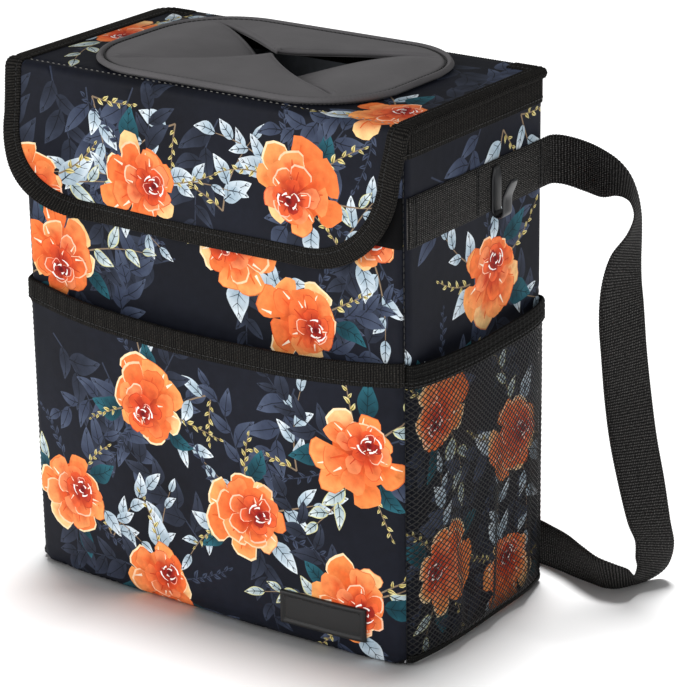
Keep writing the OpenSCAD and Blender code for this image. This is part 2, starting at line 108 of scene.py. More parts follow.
def linear(code: str) -> Tint:
    """Turn an sRGB hex value into linear light.

    Args:
        code: Six hex digits, such as "1e2230".

    Returns:
        Red, green and blue in linear light.
    """
    parts = [int(code[i:i + 2], 16) / 255 for i in (0, 2, 4)]
    return tuple(c / 12.92 if c <= 0.04045 else ((c + 0.055) / 1.055) ** 2.4 for c in parts)


def rgba(code: str) -> tuple[float, float, float, float]:
    """Return a hex value as linear light with full alpha."""
    return (*linear(code), 1.0)


def mix(a: Tint, b: Tint, share: float) -> Tint:
    """Blend two tints; share 0 gives a and 1 gives b."""
    return tuple(p + (q - p) * share for p, q in zip(a, b))


def smooth(low: float, high: float, value: float) -> float:
    """Ease from 0 at low to 1 at high."""
    t = min(max((value - low) / (high - low), 0.0), 1.0)
    return t * t * (3 - 2 * t)


def add_node(tree: bpy.types.NodeTree, kind: str, inputs: dict | None = None,
             **settings: object) -> bpy.types.Node:
    """Add a node, set it up and link it.

    Args:
        tree: The shader or geometry tree.
        kind: The node's type.
        inputs: Value, node or socket for each input, by name or index; a node gives its first
            output.
        settings: Attributes of the node.

    Returns:
        The new node.
    """
    node = tree.nodes.new(kind)
    for name, value in settings.items():
        setattr(node, name, value)
    for key, value in (inputs or {}).items():
        if isinstance(value, bpy.types.Node):
            value = value.outputs[0]
        if isinstance(value, bpy.types.NodeSocket):
            tree.links.new(value, node.inputs[key])
        else:
            node.inputs[key].default_value = value
    return node


def maths(tree: bpy.types.NodeTree, operation: str, *values: object) -> bpy.types.Node:
    """Add a maths node over values, nodes or sockets."""
    return add_node(tree, "ShaderNodeMath", dict(enumerate(values)), operation=operation)


@dataclass(frozen=True)
class Finish:
    """What every finish shares: a name, a ground colour, a roughness and a gloss."""

    name: str
    ground: str
    rough: float
    specular: float = 0.12

    def material(self) -> bpy.types.Material:
        """Return this finish's material, making it the first time."""
        found = bpy.data.materials.get(self.name)
        if found:
            return found
        made = bpy.data.materials.new(self.name)
        made.use_nodes = True
        made.diffuse_color = rgba(self.ground)
        tree = made.node_tree
        tree.nodes.clear()
        shader = add_node(tree, "ShaderNodeBsdfPrincipled", {
            "Base Color": rgba(self.ground), "Roughness": self.rough,
            "Specular IOR Level": self.specular})
        add_node(tree, "ShaderNodeOutputMaterial", {"Surface": shader})
        self.detail(tree, shader)
        return made

    def detail(self, tree: bpy.types.NodeTree, shader: bpy.types.Node) -> None:
        """Add what is special to the finish."""

    @staticmethod
    def threads(tree: bpy.types.NodeTree, pitch: Sequence[float]) -> bpy.types.Node:
        """Draw a plain weave over the piece's own run and width.

        Args:
            tree: The material's tree.
            pitch: Thread spacing along and across, in metres.

        Returns:
            A node whose value is 1 on a thread's crown and 0 between threads.
        """
        flat = add_node(tree, "ShaderNodeUVMap", uv_map="run")
        axes = add_node(tree, "ShaderNodeSeparateXYZ", {0: flat})
        waves = []
        for axis, step in enumerate(pitch):
            wave = maths(tree, "COSINE", maths(tree, "MULTIPLY", axes.outputs[axis], TAU / step))
            waves.append(add_node(tree, "ShaderNodeMapRange", {0: wave, 1: -1.0, 2: 1.0}))
        return maths(tree, "MULTIPLY", *waves)

    @staticmethod
    def clouds(tree: bpy.types.NodeTree, where: object, size: float, detail: float,
               rough: float = 0.5) -> bpy.types.Node:
        """Add a noise whose clouds have a size in metres."""
        return add_node(tree, "ShaderNodeTexNoise", {
            "Vector": where, "Scale": 1 / size, "Detail": detail, "Roughness": rough})

    @staticmethod
    def tone(tree: bpy.types.NodeTree, shader: bpy.types.Node, ground: object,
             cloud: bpy.types.Node, span: Sequence[float]) -> None:
        """Scale the ground colour by a noise.

        Args:
            tree: The material's tree.
            shader: The node whose base colour is set.
            ground: The colour or its socket.
            cloud: The noise.
            span: Lowest and highest noise, and the scale at each.
        """
        level = add_node(tree, "ShaderNodeMapRange", {0: cloud, **dict(enumerate(span, 1))})
        toned = add_node(tree, "ShaderNodeVectorMath", {0: ground, "Scale": level},
                         operation="SCALE")
        tree.links.new(toned.outputs[0], shader.inputs["Base Color"])

    @staticmethod
    def emboss(tree: bpy.types.NodeTree, shader: bpy.types.Node, height: object,
               strength: float, depth: float, **under: bpy.types.Node) -> bpy.types.Node:
        """Bump the surface by a height, over an earlier bump if one is given as Normal."""
        bump = add_node(tree, "ShaderNodeBump", {
            "Height": height, "Strength": strength, "Distance": depth, **under})
        tree.links.new(bump.outputs[0], shader.inputs["Normal"])
        return bump


@dataclass(frozen=True)
class PrintedPolyester(Finish):
    """Printed 300-denier polyester: a close satin weave, so the print keeps crisp edges and the
    cloth gives a broad soft sheen."""

    weave: float = 0.55 * MM
    wash: float = 5 * MM
    rumple: float = 22 * MM

    def detail(self, tree: bpy.types.NodeTree, shader: bpy.types.Node) -> None:
        """Lay the print on the cloth with the unevenness of its ink and a fine weave."""
        ink = add_node(tree, "ShaderNodeAttribute", attribute_name="print")
        flat = add_node(tree, "ShaderNodeTexCoord").outputs["Object"]
        self.tone(tree, shader, ink.outputs["Color"],
                  self.clouds(tree, flat, self.wash, 5.0, 0.6), (0.3, 0.7, 0.82, 1.14))
        crown = self.threads(tree, (self.weave, self.weave))
        rumple = self.clouds(tree, flat, self.rumple, 2.0)
        soft = self.emboss(tree, shader, rumple, 0.35, 1.6 * MM)
        self.emboss(tree, shader, crown, 0.25, 0.06 * MM, Normal=soft)


@dataclass(frozen=True)
class WovenTape(Finish):
    """Spun polyester tape: matt black yarns whose rib crowns carry a painted highlight, a grey glint
    colour mixed into the base colour, so the ribs read as rows of small light beads with black between
    them."""

    # Painted highlight: the colour that the rib crowns take in place of light caught by the black
    # yarn.
    painted_glint: str = "55534f"
    bead: float = 0.9 * MM
    rib: float = 1.45 * MM
    fleck: float = 0.8 * MM

    def detail(self, tree: bpy.types.NodeTree, shader: bpy.types.Node) -> None:
        """Bead the ribs and scatter painted glints over them: a highlight painted into the base
        colour.
        """
        flat = add_node(tree, "ShaderNodeUVMap", uv_map="run")
        crown = self.threads(tree, (self.rib, self.bead))
        speck = self.clouds(tree, flat, self.fleck, 3.0)
        patchy = add_node(tree, "ShaderNodeMapRange",
                          {0: speck, 1: 0.38, 2: 0.66, 3: 0.15, 4: 1.25})
        # Painted highlight mask: the crowns and specks where the glint colour stands in for light on
        # the yarns.
        lit = maths(tree, "MULTIPLY", crown, patchy)
        lit.use_clamp = True
        tone = add_node(tree, "ShaderNodeMix", {"Factor": lit, 6: rgba(self.ground),
                                                7: rgba(self.painted_glint)}, data_type="RGBA")
        tree.links.new(tone.outputs[2], shader.inputs["Base Color"])
        self.emboss(tree, shader, crown, 0.7, 0.25 * MM)


@dataclass(frozen=True)
class FoamSheet(Finish):
    """Closed-cell foam rubber with a skived skin: an even mid grey, quite matt, with a fine grain
    that only shows where light grazes it."""

    specular: float = 0.2
    grain: float = 0.7 * MM
    cloud: float = 28 * MM

    def detail(self, tree: bpy.types.NodeTree, shader: bpy.types.Node) -> None:
        """Grain the skin and cloud its tone a little."""
        flat = add_node(tree, "ShaderNodeTexCoord").outputs["Object"]
        self.tone(tree, shader, linear(self.ground),
                  self.clouds(tree, flat, self.cloud, 6.0, 0.62), (0.25, 0.75, 0.85, 1.12))
        self.emboss(tree, shader, self.clouds(tree, flat, self.grain, 3.0), 0.35, 0.12 * MM)
        shader.inputs["Sheen Weight"].default_value = 0.08
        shader.inputs["Sheen Roughness"].default_value = 0.6


@dataclass(frozen=True)
class PlainSkin(Finish):
    """A moulded or coated skin, such as the nylon hooks, the rubber patch, the boards and the
    liner film: one colour, broken up by a faint mottle in tone and height."""

    specular: float = 0.5
    grain: float = 1.2 * MM
    relief: float = 0.05 * MM

    def detail(self, tree: bpy.types.NodeTree, shader: bpy.types.Node) -> None:
        """Mottle the tone and the surface."""
        flat = add_node(tree, "ShaderNodeTexCoord").outputs["Object"]
        mottle = self.clouds(tree, flat, self.grain, 4.0)
        self.tone(tree, shader, linear(self.ground), mottle, (0.3, 0.7, 0.86, 1.12))
        self.emboss(tree, shader, mottle, 0.6, self.relief)


PRINT = PrintedPolyester("printed_polyester", "1f222b", 0.62)
# The glint tints below are painted highlights on black yarn, not the yarns' own colour.
GROSGRAIN = WovenTape("grosgrain_tape", "030303", 0.85, painted_glint="45423e", bead=0.8 * MM)
WEBBING = WovenTape("spun_webbing", "040404", 0.82, painted_glint="6a6866", bead=0.95 * MM, rib=1.6 * MM)
ELASTIC = WovenTape("knitted_elastic", "030303", 0.8, painted_glint="2f2e2b", bead=1.5 * MM, rib=0.9 * MM)
NET_CORD = PlainSkin("knotless_nylon_net", "050506", 0.38, grain=0.8 * MM, relief=0.1 * MM)
FOAM = FoamSheet("skived_foam_rubber", "5c5a5c", 0.85)
HOOK = PlainSkin("moulded_nylon", "1b1c1f", 0.34, grain=6 * MM, relief=0.04 * MM)
RUBBER = PlainSkin("satin_rubber", "060607", 0.6, grain=0.9 * MM, relief=0.05 * MM)
LINING = PlainSkin("plain_lining_cloth", "0d0d10", 0.8, 0.2, grain=0.7 * MM, relief=0.08 * MM)
THREAD = PlainSkin("bonded_sewing_thread", "0a0a0b", 0.45, grain=0.4 * MM, relief=0.05 * MM)
# Painted highlight: a light grey thread colour that stands in for the glints on black sewing thread.
PAINTED_GLINT_THREAD = PlainSkin("painted_glint_sewing_thread", "8d8b86", 0.5, grain=0.5 * MM, relief=0.05 * MM)
LOOP_PILE = PlainSkin("loop_pile_tape", "0b0b0c", 0.95, 0.1, grain=0.5 * MM, relief=0.4 * MM)
BOARD = PlainSkin("stiffener_board", "8d9096", 0.6, grain=3 * MM)
FILM = PlainSkin("coated_liner_film", "6c7076", 0.4, grain=5 * MM, relief=0.3 * MM)


def new_object(name: str, verts: Sequence[Vector], faces: Sequence[Sequence[int]],
               finish: Finish | None = None,
               edges: Sequence[Sequence[int]] = ()) -> bpy.types.Object:
    """Make a mesh object at the origin.

    Args:
        name: The piece's name.
        verts: Corner places.
        faces: Corner indices of each face.
        finish: The piece's finish.
        edges: Loose edges, for a wire.

    Returns:
        The new object, smooth shaded.
    """
    mesh = bpy.data.meshes.new(name)
    mesh.from_pydata([tuple(v) for v in verts], list(edges), [tuple(f) for f in faces])
    mesh.validate()
    mesh.shade_smooth()
    made = bpy.data.objects.new(name, mesh)
    bpy.context.scene.collection.objects.link(made)
    if finish:
        mesh.materials.append(finish.material())
    return made


def close_outwards(made: bpy.types.Object) -> None:
    """Turn every face of a closed mesh outwards."""
    work = bmesh.new()
    work.from_mesh(made.data)
    bmesh.ops.recalc_face_normals(work, faces=work.faces)
    work.to_mesh(made.data)
    work.free()


def bake(made: bpy.types.Object) -> bpy.types.Object:
    """Turn an object's modifiers into a plain mesh.

    Args:
        made: An object with modifiers.

    Returns:
        The same object, with no modifier left.
    """
    graph = bpy.context.evaluated_depsgraph_get()
    mesh = bpy.data.meshes.new_from_object(made.evaluated_get(graph), preserve_all_data_layers=True,
                                           depsgraph=graph)
    made.modifiers.clear()
    made.data = mesh
    return made


def settle(made: bpy.types.Object, body: Body, slot: str, *nodes: str) -> bpy.types.Object:
    """Say what a finished piece rides on and what it stands for.

    Args:
        made: The finished piece.
        body: The body that carries it.
        slot: The record's material slot; not used.
        nodes: Solids that it stands for.

    Returns:
        The same object.
    """
    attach(made, body.value)
    if nodes:
        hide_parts(*nodes)
    made.data.calc_loop_triangles()
    LOG.info("%s: %d triangles on %s", made.name, len(made.data.loop_triangles), body.value)
    return made


class NodeTool:
    """A Geometry Nodes tree with named inputs, which each piece's modifier sets."""

    def __init__(self, name: str, *numbers: str) -> None:
        """Open the tree: a geometry, the named numbers and a material go in."""
        self.name = name
        self.tree = bpy.data.node_groups.new(name, "GeometryNodeTree")
        face = self.tree.interface
        face.new_socket("Geometry", in_out="INPUT", socket_type="NodeSocketGeometry")
        for label in numbers:
            face.new_socket(label, in_out="INPUT", socket_type="NodeSocketFloat")
        face.new_socket("Material", in_out="INPUT", socket_type="NodeSocketMaterial")
        face.new_socket("Geometry", in_out="OUTPUT", socket_type="NodeSocketGeometry")
        self.given = self.tree.nodes.new("NodeGroupInput")

    def close(self, made: bpy.types.Node) -> None:
        """End the tree in real geometry with its material."""
        real = add_node(self.tree, "GeometryNodeRealizeInstances", {0: made})
        dressed = add_node(self.tree, "GeometryNodeSetMaterial",
                           {"Geometry": real, "Material": self.given.outputs["Material"]})
        add_node(self.tree, "NodeGroupOutput", {0: dressed})

    def run(self, made: bpy.types.Object, **values: object) -> bpy.types.Object:
        """Put the tree on an object, set its inputs and turn the result into a plain mesh."""
        modifier = made.modifiers.new(self.name, "NODES")
        modifier.node_group = self.tree
        for item in self.tree.interface.items_tree:
            if item.in_out == "INPUT" and item.name in values:
                modifier[item.identifier] = values[item.name]
        return bake(made)


class RibTool(NodeTool):
    """Raises cross ribs along a tape, by the attribute that holds its run."""

    def __init__(self) -> None:
        """Build the tree."""
        super().__init__("raise_ribs", "Pitch", "Height")
        tree, given = self.tree, self.given.outputs
        run, share = (add_node(tree, "GeometryNodeInputNamedAttribute", {"Name": name},
                               data_type="FLOAT") for name in ("run_length", "rib_share"))
        turns = maths(tree, "DIVIDE", run, given["Pitch"])
        wave = maths(tree, "COSINE", maths(tree, "MULTIPLY", turns, TAU))
        high = maths(tree, "MULTIPLY", wave, given["Height"])
        part = maths(tree, "MULTIPLY", high, share)
        normal = tree.nodes.new("GeometryNodeInputNormal")
        push = add_node(tree, "ShaderNodeVectorMath", {0: normal, "Scale": part},
                        operation="SCALE")
        self.close(add_node(tree, "GeometryNodeSetPosition",
                            {"Geometry": given[0], "Offset": push}))


class StitchTool(NodeTool):
    """Lays stitches end to end along a wire."""

    def __init__(self) -> None:
        """Build the tree."""
        super().__init__("lay_stitches", "Pitch", "Length", "Thread")
        tree, given = self.tree, self.given.outputs
        path = add_node(tree, "GeometryNodeMeshToCurve", {0: given[0]})
        even = add_node(tree, "GeometryNodeResampleCurve",
                        {"Curve": path, "Length": given["Pitch"]}, mode="LENGTH")
        ball = add_node(tree, "GeometryNodeMeshUVSphere",
                        {"Segments": 6, "Rings": 5, "Radius": 0.5})
        size = add_node(tree, "ShaderNodeCombineXYZ", {
            0: given["Thread"], 1: given["Thread"], 2: given["Length"]})
        heading = tree.nodes.new("GeometryNodeInputTangent")
        turn = add_node(tree, "FunctionNodeAlignRotationToVector", {"Vector": heading}, axis="Z")
        self.close(add_node(tree, "GeometryNodeInstanceOnPoints", {
            "Points": even, "Instance": ball, "Rotation": turn, "Scale": size}))


class NetTool(NodeTool):
    """Turns a wire of crossing strands into net cord."""

    def __init__(self) -> None:
        """Build the tree."""
        super().__init__("spin_net", "Radius")
        tree, given = self.tree, self.given.outputs
        path = add_node(tree, "GeometryNodeMeshToCurve", {0: given[0]})
        ring = add_node(tree, "GeometryNodeCurvePrimitiveCircle",
                        {"Resolution": 4, "Radius": given["Radius"]}, mode="RADIUS")
        self.close(add_node(tree, "GeometryNodeCurveToMesh",
                            {"Curve": path, "Profile Curve": ring, "Fill Caps": True}))


@dataclass
class Tools:
    """The node trees that all sub-assemblies share."""

    ribs: RibTool = field(default_factory=RibTool)
    stitches: StitchTool = field(default_factory=StitchTool)
    net: NetTool = field(default_factory=NetTool)

    def sew(self, name: str, paths: Sequence[Sequence[Vector]], body: Body, slot: str,
            pitch: float = 2.6 * MM, finish: Finish = THREAD, thread: float = 0.55 * MM,
            share: float = 0.82) -> bpy.types.Object:
        """Sew rows of stitches along paths.

        Args:
            name: The piece's name.
            paths: One list of places for each row.
            body: The body that carries the rows.
            slot: The record's material slot.
            pitch: Distance from stitch to stitch.
            finish: The thread's finish.
            thread: The thread's thickness.
            share: Length of a stitch as a share of the pitch.

        Returns:
            The stitches as one piece.
        """
        verts: list[Vector] = []
        edges: list[tuple[int, int]] = []
        for path in paths:
            first = len(verts)
            verts += list(path)
            edges += [(first + i, first + i + 1) for i in range(len(path) - 1)]
        made = new_object(name, verts, [], None, edges)
        self.stitches.run(made, Pitch=pitch, Length=share * pitch, Thread=thread,
                          Material=finish.material())
        made.data.shade_smooth()
        return settle(made, body, slot)

    def lay(self, tape: Tape, body: Body, slot: str, node: str, pitch: float = 2 * MM,
            height: float = 0.0) -> bpy.types.Object:
        """Loft a tape, raise its ribs and settle it in place of a solid.

        Args:
            tape: The tape.
            body: The body that carries it.
            slot: The record's material slot.
            node: The solid that it stands for, or an empty name for none.
            pitch: Rib spacing along the tape.
            height: Half of the height from groove to crown.

        Returns:
            The tape's object.
        """
        return settle(tape.make(self, pitch, height), body, slot, *([node] if node else []))


@dataclass(frozen=True)
class Sizes:
    """Sizes of the bin read from its solids, with the few that boxes don't give."""

    half_w: float
    half_d: float
    base: float
    wall_top: float
    rim_top: float
    rim_low: float
    tape: float
    lid_half: float
    lid_front: float
    lid_back: float
    lid_top: float
    flap_low: float
    pocket_low: float
    pocket_high: float
    net_high: float
    elastic_low: float
    web_low: float
    web_high: float
    web_t: float
    corner: float = 6 * MM
    fold: float = 5 * MM
    print_t: float = 1.2 * MM
    lining_t: float = 0.8 * MM
    binding: float = 10 * MM
    pocket_bind: float = 12 * MM
    insert_lap: float = 8 * MM

    @classmethod
    def read(cls) -> Sizes:
        """Read the boxes of the solids."""
        front, side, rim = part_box("front_panel"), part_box("right_panel"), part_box("rim_band")
        lid, web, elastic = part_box("lid_panel"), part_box("right_webbing"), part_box("right_elastic")
        return cls(
            half_w=side[1][0], half_d=-front[0][1], base=front[0][2], wall_top=front[1][2],
            rim_top=rim[1][2], rim_low=rim[0][2], tape=rim[1][0] - side[1][0],
            lid_half=lid[1][0], lid_front=lid[0][1], lid_back=lid[1][1], lid_top=lid[1][2],
            flap_low=lid[0][2], pocket_low=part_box("front_pocket")[0][2],
            pocket_high=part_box("front_pocket_binding")[1][2], net_high=elastic[1][2],
            elastic_low=elastic[0][2], web_low=web[0][2], web_high=web[1][2],
            web_t=web[1][0] - side[1][0])


@dataclass(frozen=True)
class Wash:
    """Ink that runs from one tint at a place to another some way off."""

    near: Tint
    far: Tint
    x: float
    y: float
    reach: float
    cloud: float = 0.18

    def at(self, x: float, y: float) -> Tint:
        """Return the tint at a place on the cloth."""
        share = math.hypot(x - self.x, y - self.y) / self.reach
        share += self.cloud * noise.noise(Vector((x / 3.5, y / 3.5, self.x + self.y)))
        return mix(self.near, self.far, smooth(0.05, 1.0, share))


@dataclass(frozen=True)
class Shape:
    """One flat shape of the print: an outline run anticlockwise, and its wash."""

    outline: tuple[Point, ...]
    wash: Wash


@dataclass(frozen=True)
class LeafInk:
    """The tints of one kind of leaf."""

    near: str
    far: str
    vein: str
    rim: str | None = None


PALE_LEAF = LeafInk("9fb3c1", "e4edf3", "1c2530")
PALE_RIMMED = LeafInk("a5b8be", "dfe9e9", "26302f", "d3d19b")
SLATE_LEAF = LeafInk("343c50", "4e586e", "171b26")
SHADOW_LEAF = LeafInk("232835", "383f50", "13161e")
TEAL_LEAF = LeafInk("123a45", "2a6472", "0c242b")
BUD_INK = LeafInk("cdb96c", "f2e8ae", "5b532f")
FAINT = (SLATE_LEAF, SHADOW_LEAF)
GROUND_INK = ("0f1119", "161924")


@dataclass(frozen=True)
class PetalRing:
    """One ring of a bloom's petals, sizes as shares of the bloom's radius.

    Args:
        count: Petals in the ring.
        near, far, half: Where a petal starts and ends, and half of its width.
        foot: Tint at its foot.
        tips: Tints that its tip may take.
        rim: Tint of a lit edge.
    """

    count: int
    near: float
    far: float
    half: float
    foot: str
    tips: tuple[str, ...]
    rim: str


BLOOM = (
    PetalRing(7, 0.40, 1.0, 0.40, "df5f28", ("f5a45e", "f8cd8e", "f48f4c", "f28042"), "fadfb4"),
    PetalRing(7, 0.28, 0.83, 0.34, "d85022", ("f68e50", "f79c5c", "f17c40"), "fccea4"),
    PetalRing(6, 0.16, 0.64, 0.28, "c23a1a", ("f48048", "f2733a", "f68e5a"), "fdc8a8"),
    PetalRing(5, 0.06, 0.44, 0.22, "a02515", ("ec6436", "e2552a"), "fbc0a4"),
    PetalRing(3, 0.0, 0.27, 0.15, "6e1010", ("c13c25", "a72b1e"), "f4ab95"),
)


def extent(points: Sequence[Point]) -> tuple[float, float, float, float]:
    """Return the lowest and highest x, then the lowest and highest y."""
    xs, ys = [p[0] for p in points], [p[1] for p in points]
    return min(xs), max(xs), min(ys), max(ys)


def oriented(points: Sequence[Point]) -> tuple[Point, ...]:
    """Return an outline run anticlockwise."""
    area = sum(a[0] * b[1] - b[0] * a[1] for a, b in zip(points, [*points[1:], points[0]]))
    return tuple(points) if area > 0 else tuple(reversed(points))


def ahead_of(x: float, y: float, angle: float, u: float, v: float = 0.0) -> Point:
    """Return the place u ahead of x, y and v to the left, for a heading."""
    cos, sin = math.cos(angle), math.sin(angle)
    return x + u * cos - v * sin, y + u * sin + v * cos


def beside(path: Sequence, i: int, reach: int = 1) -> tuple:
    """Return the members after and before one of a path, held at its ends."""
    return path[min(i + reach, len(path) - 1)], path[max(i - reach, 0)]


def spread(low: float, high: float, steps: int) -> list[float]:
    """Divide the way from low to high into equal steps."""
    return [low + (high - low) * i / steps for i in range(steps + 1)]


def spaced(low: float, high: float, step: float) -> list[float]:
    """Divide the way from low to high into equal steps of about a length."""
    return spread(low, high, max(int(round((high - low) / step)), 2))


def mesh_plane(rings: Sequence[Sequence[Point]], loose: Sequence[Point]) -> tuple:
    """Mesh the plane along closed rings and through loose points.

    Args:
        rings: Outlines, each run anticlockwise.
        loose: Further points.

    Returns:
        Places, faces, the given points at each place and the rings that hold each face.
    """
    verts = [Vector(p) for ring in (*rings, loose) for p in ring]
    faces, first = [], 0
    for ring in rings:
        faces.append(list(range(first, first + len(ring))))
        first += len(ring)
    places, _, cells, origins, _, owners = geometry.delaunay_2d_cdt(
        verts, [], faces, 1, WELD, True)
    return places, cells, origins, owners


def compact(cells: Sequence[Sequence[int]]) -> tuple[list[int], list[tuple[int, ...]]]:
    """Return the points that faces use, in order, and the faces numbered by that order."""
    used = sorted({i for cell in cells for i in cell})
    index = {old: new for new, old in enumerate(used)}
    return used, [tuple(index[i] for i in cell) for cell in cells]


class Draughtsman:
    """Draws the print's motifs with a seeded hand, in millimetres."""

    def __init__(self, seed: int) -> None:
        """Start with a clean sheet."""
        self.rng = random.Random(seed)
        self.shapes: list[Shape] = []

    def put(self, points: Sequence[Point], wash: Wash) -> None:
        """Add a shape on top of the others."""
        self.shapes.append(Shape(oriented(points), wash))

    def plain(self, code: str) -> Wash:
        """Return an even wash."""
        tint = linear(code)
        return Wash(tint, tint, 0.0, 0.0, 1.0)

    def stroke(self, path: Sequence[Point], width: float, tip: float, wash: Wash) -> None:
        """Draw a brush stroke that tapers from width to tip along a path."""
        left, right = [], []
        last = len(path) - 1
        for i, (x, y) in enumerate(path):
            ahead, behind = beside(path, i)
            dx, dy = ahead[0] - behind[0], ahead[1] - behind[1]
            size = math.hypot(dx, dy) or 1.0
            half = (width + (tip - width) * i / last) / 2
            left.append((x - dy / size * half, y + dx / size * half))
            right.append((x + dy / size * half, y - dx / size * half))
        self.put(left + right[::-1], wash)

    def leaf(self, x: float, y: float, angle: float, length: float, half: float, ink: LeafInk,
             bend: float = 0.0, veins: int = 4) -> None:
        """Draw a pointed leaf with a midrib and side veins.

        Args:
            x, y: Foot of the leaf.
            angle: Heading of the leaf.
            length: Length from foot to tip.
            half: Half of its greatest width.
            ink: Its tints.
            bend: Sideways bow as a share of the length.
            veins: Side veins on each side.
        """
        def at(t: float, w: float) -> Point:
            return ahead_of(x, y, angle, t * length, w + bend * length * math.sin(math.pi * t))

        def width(t: float) -> float:
            return half * (math.sin(math.pi * min(t, 1.0) ** 0.82) ** 0.85) * (1.08 - 0.3 * t)

        steps = 11
        wave = self.rng.uniform(0, TAU)
        span = [i / steps for i in range(steps + 1)]
        upper = [at(t, width(t) * (1 + 0.07 * math.sin(9 * t + wave))) for t in span]
        lower = [at(t, -width(t) * (1 + 0.07 * math.cos(8 * t + wave))) for t in span[1:-1]]
        foot = at(0.25, 0.0)
        if ink.rim:
            self.put(upper + lower[::-1], self.plain(ink.rim))
            upper = [at(0.04 + 0.92 * t, 0.84 * width(t)) for t in span]
            lower = [at(0.04 + 0.92 * t, -0.84 * width(t)) for t in span[1:-1]]
        self.put(upper + lower[::-1], Wash(linear(ink.near), linear(ink.far), *foot, length * 0.75))
        vein = self.plain(ink.vein)
        self.stroke([at(t, 0.0) for t in (0.0, 0.25, 0.5, 0.75, 0.93)], 0.62, 0.2, vein)
        for i in range(veins):
            t = 0.16 + 0.62 * i / max(veins - 1, 1)
            for side in (1, -1):
                self.stroke([at(t, 0.0), at(t + 0.08, side * 0.42 * width(t + 0.08)),
                             at(t + 0.14, side * 0.8 * width(t + 0.16))], 0.4, 0.16, vein)

    def petal(self, x: float, y: float, angle: float, size: float, ring: PetalRing) -> None:
        """Draw one petal of a bloom about x, y: a wash, a wet streak and at times a lit edge."""
        rng = self.rng
        near, far = ring.near * size, ring.far * size * rng.uniform(0.86, 1.14)
        half = ring.half * size * rng.uniform(0.86, 1.16)
        mid, long = (near + far) / 2, (far - near) / 2
        wave = [rng.uniform(0, TAU) for _ in range(3)]
        lean = rng.uniform(-0.3, 0.3)

        def at(u: float, v: float) -> Point:
            return ahead_of(x, y, angle, u, v)

        def outline(grow: float, back: float) -> list[Point]:
            points = []
            for i in range(15):
                t = TAU * i / 15
                rough = (1 + 0.08 * math.sin(3 * t + wave[0]) + 0.05 * math.sin(5 * t + wave[1])
                         + 0.03 * math.sin(8 * t + wave[2]))
                v = half * grow * rough * math.sin(t) * (0.76 + 0.24 * math.cos(t))
                points.append(at(mid + long * grow * rough * math.cos(t) - back, v + lean * back))
            return points

        tip = rng.choice(ring.tips)
        lit = rng.random() < 0.26
        edge = linear(ring.rim) if lit else mix(linear(ring.foot), linear(tip), 0.35)
        if lit or rng.random() < 0.5:
            self.put(outline(1.0, 0.0), Wash(edge, edge, 0.0, 0.0, 1.0))
        self.put(outline(0.93 if lit else 0.965, 0.05 * long * 2 * (0.9 if lit else 0.4)),
                 Wash(linear(ring.foot), linear(tip), *at(near, 0), long * 2, 0.34))
        if rng.random() < 0.6:
            side = rng.uniform(-0.4, 0.4) * half
            self.stroke([at(near + 2 * long * t, side * (0.4 + t)) for t in (0.12, 0.3, 0.5, 0.68)],
                        0.16 * half, 0.05 * half, self.plain(ring.foot))
        if rng.random() < 0.45:
            side = rng.choice((-0.5, 0.5)) * half
            streak = [at(near + 2 * long * t, side * (0.7 + 0.4 * t)) for t in (0.45, 0.6, 0.78)]
            self.stroke(streak, 0.15 * half, 0.04 * half, self.plain("fde6cc"))

    def bloom(self, x: float, y: float, size: float) -> None:
        """Draw a full garden bloom seen from the side: rings of petals round a heart set off its
        middle, pale at the edge and deep red inside."""
        rng = self.rng
        lean = rng.uniform(0, TAU)
        away_x, away_y = math.cos(lean), math.sin(lean)

        def ellipse(cx: float, cy: float, count: int, wide: Callable[[float], float],
                    tall: Callable[[float], float]) -> list[Point]:
            turns = [TAU * i / count for i in range(count)]
            return [(cx + size * wide(t) * math.cos(t), cy + size * tall(t) * math.sin(t))
                    for t in turns]

        self.put(ellipse(x, y, 18, lambda t: 0.62 + 0.04 * math.sin(5 * t),
                         lambda t: 0.62 + 0.04 * math.cos(4 * t)),
                 Wash(linear("a82c14"), linear("dd5f28"), x, y, 0.6 * size))
        for level, ring in enumerate(BLOOM):
            shift = 0.075 * size * level
            start = rng.uniform(0, TAU)
            for i in range(ring.count):
                angle = start + TAU * (i + rng.uniform(-0.2, 0.2)) / ring.count
                back = 1 - 0.16 * math.cos(angle - lean) * (1 if level < 2 else 0)
                self.petal(x + shift * away_x, y + shift * away_y, angle, size * back, ring)
        cx, cy = x + 0.31 * size * away_x, y + 0.31 * size * away_y
        self.put(ellipse(cx, cy, 11, lambda t: 0.13, lambda t: 0.1),
                 Wash(linear("5c0d10"), linear("a8231b"), cx, cy, 0.14 * size))
        for i in range(6):
            turn = lean + TAU * i / 6 + rng.uniform(-0.4, 0.4)
            reach = size * (0.11 + 0.075 * (i % 3))
            span = rng.uniform(0.25, 0.5)
            arc = [(cx + reach * math.cos(a), cy + 0.85 * reach * math.sin(a))
                   for a in (turn + span * k for k in range(4))]
            self.stroke(arc, 0.05 * size, 0.012 * size, self.plain("fdf3ee"))

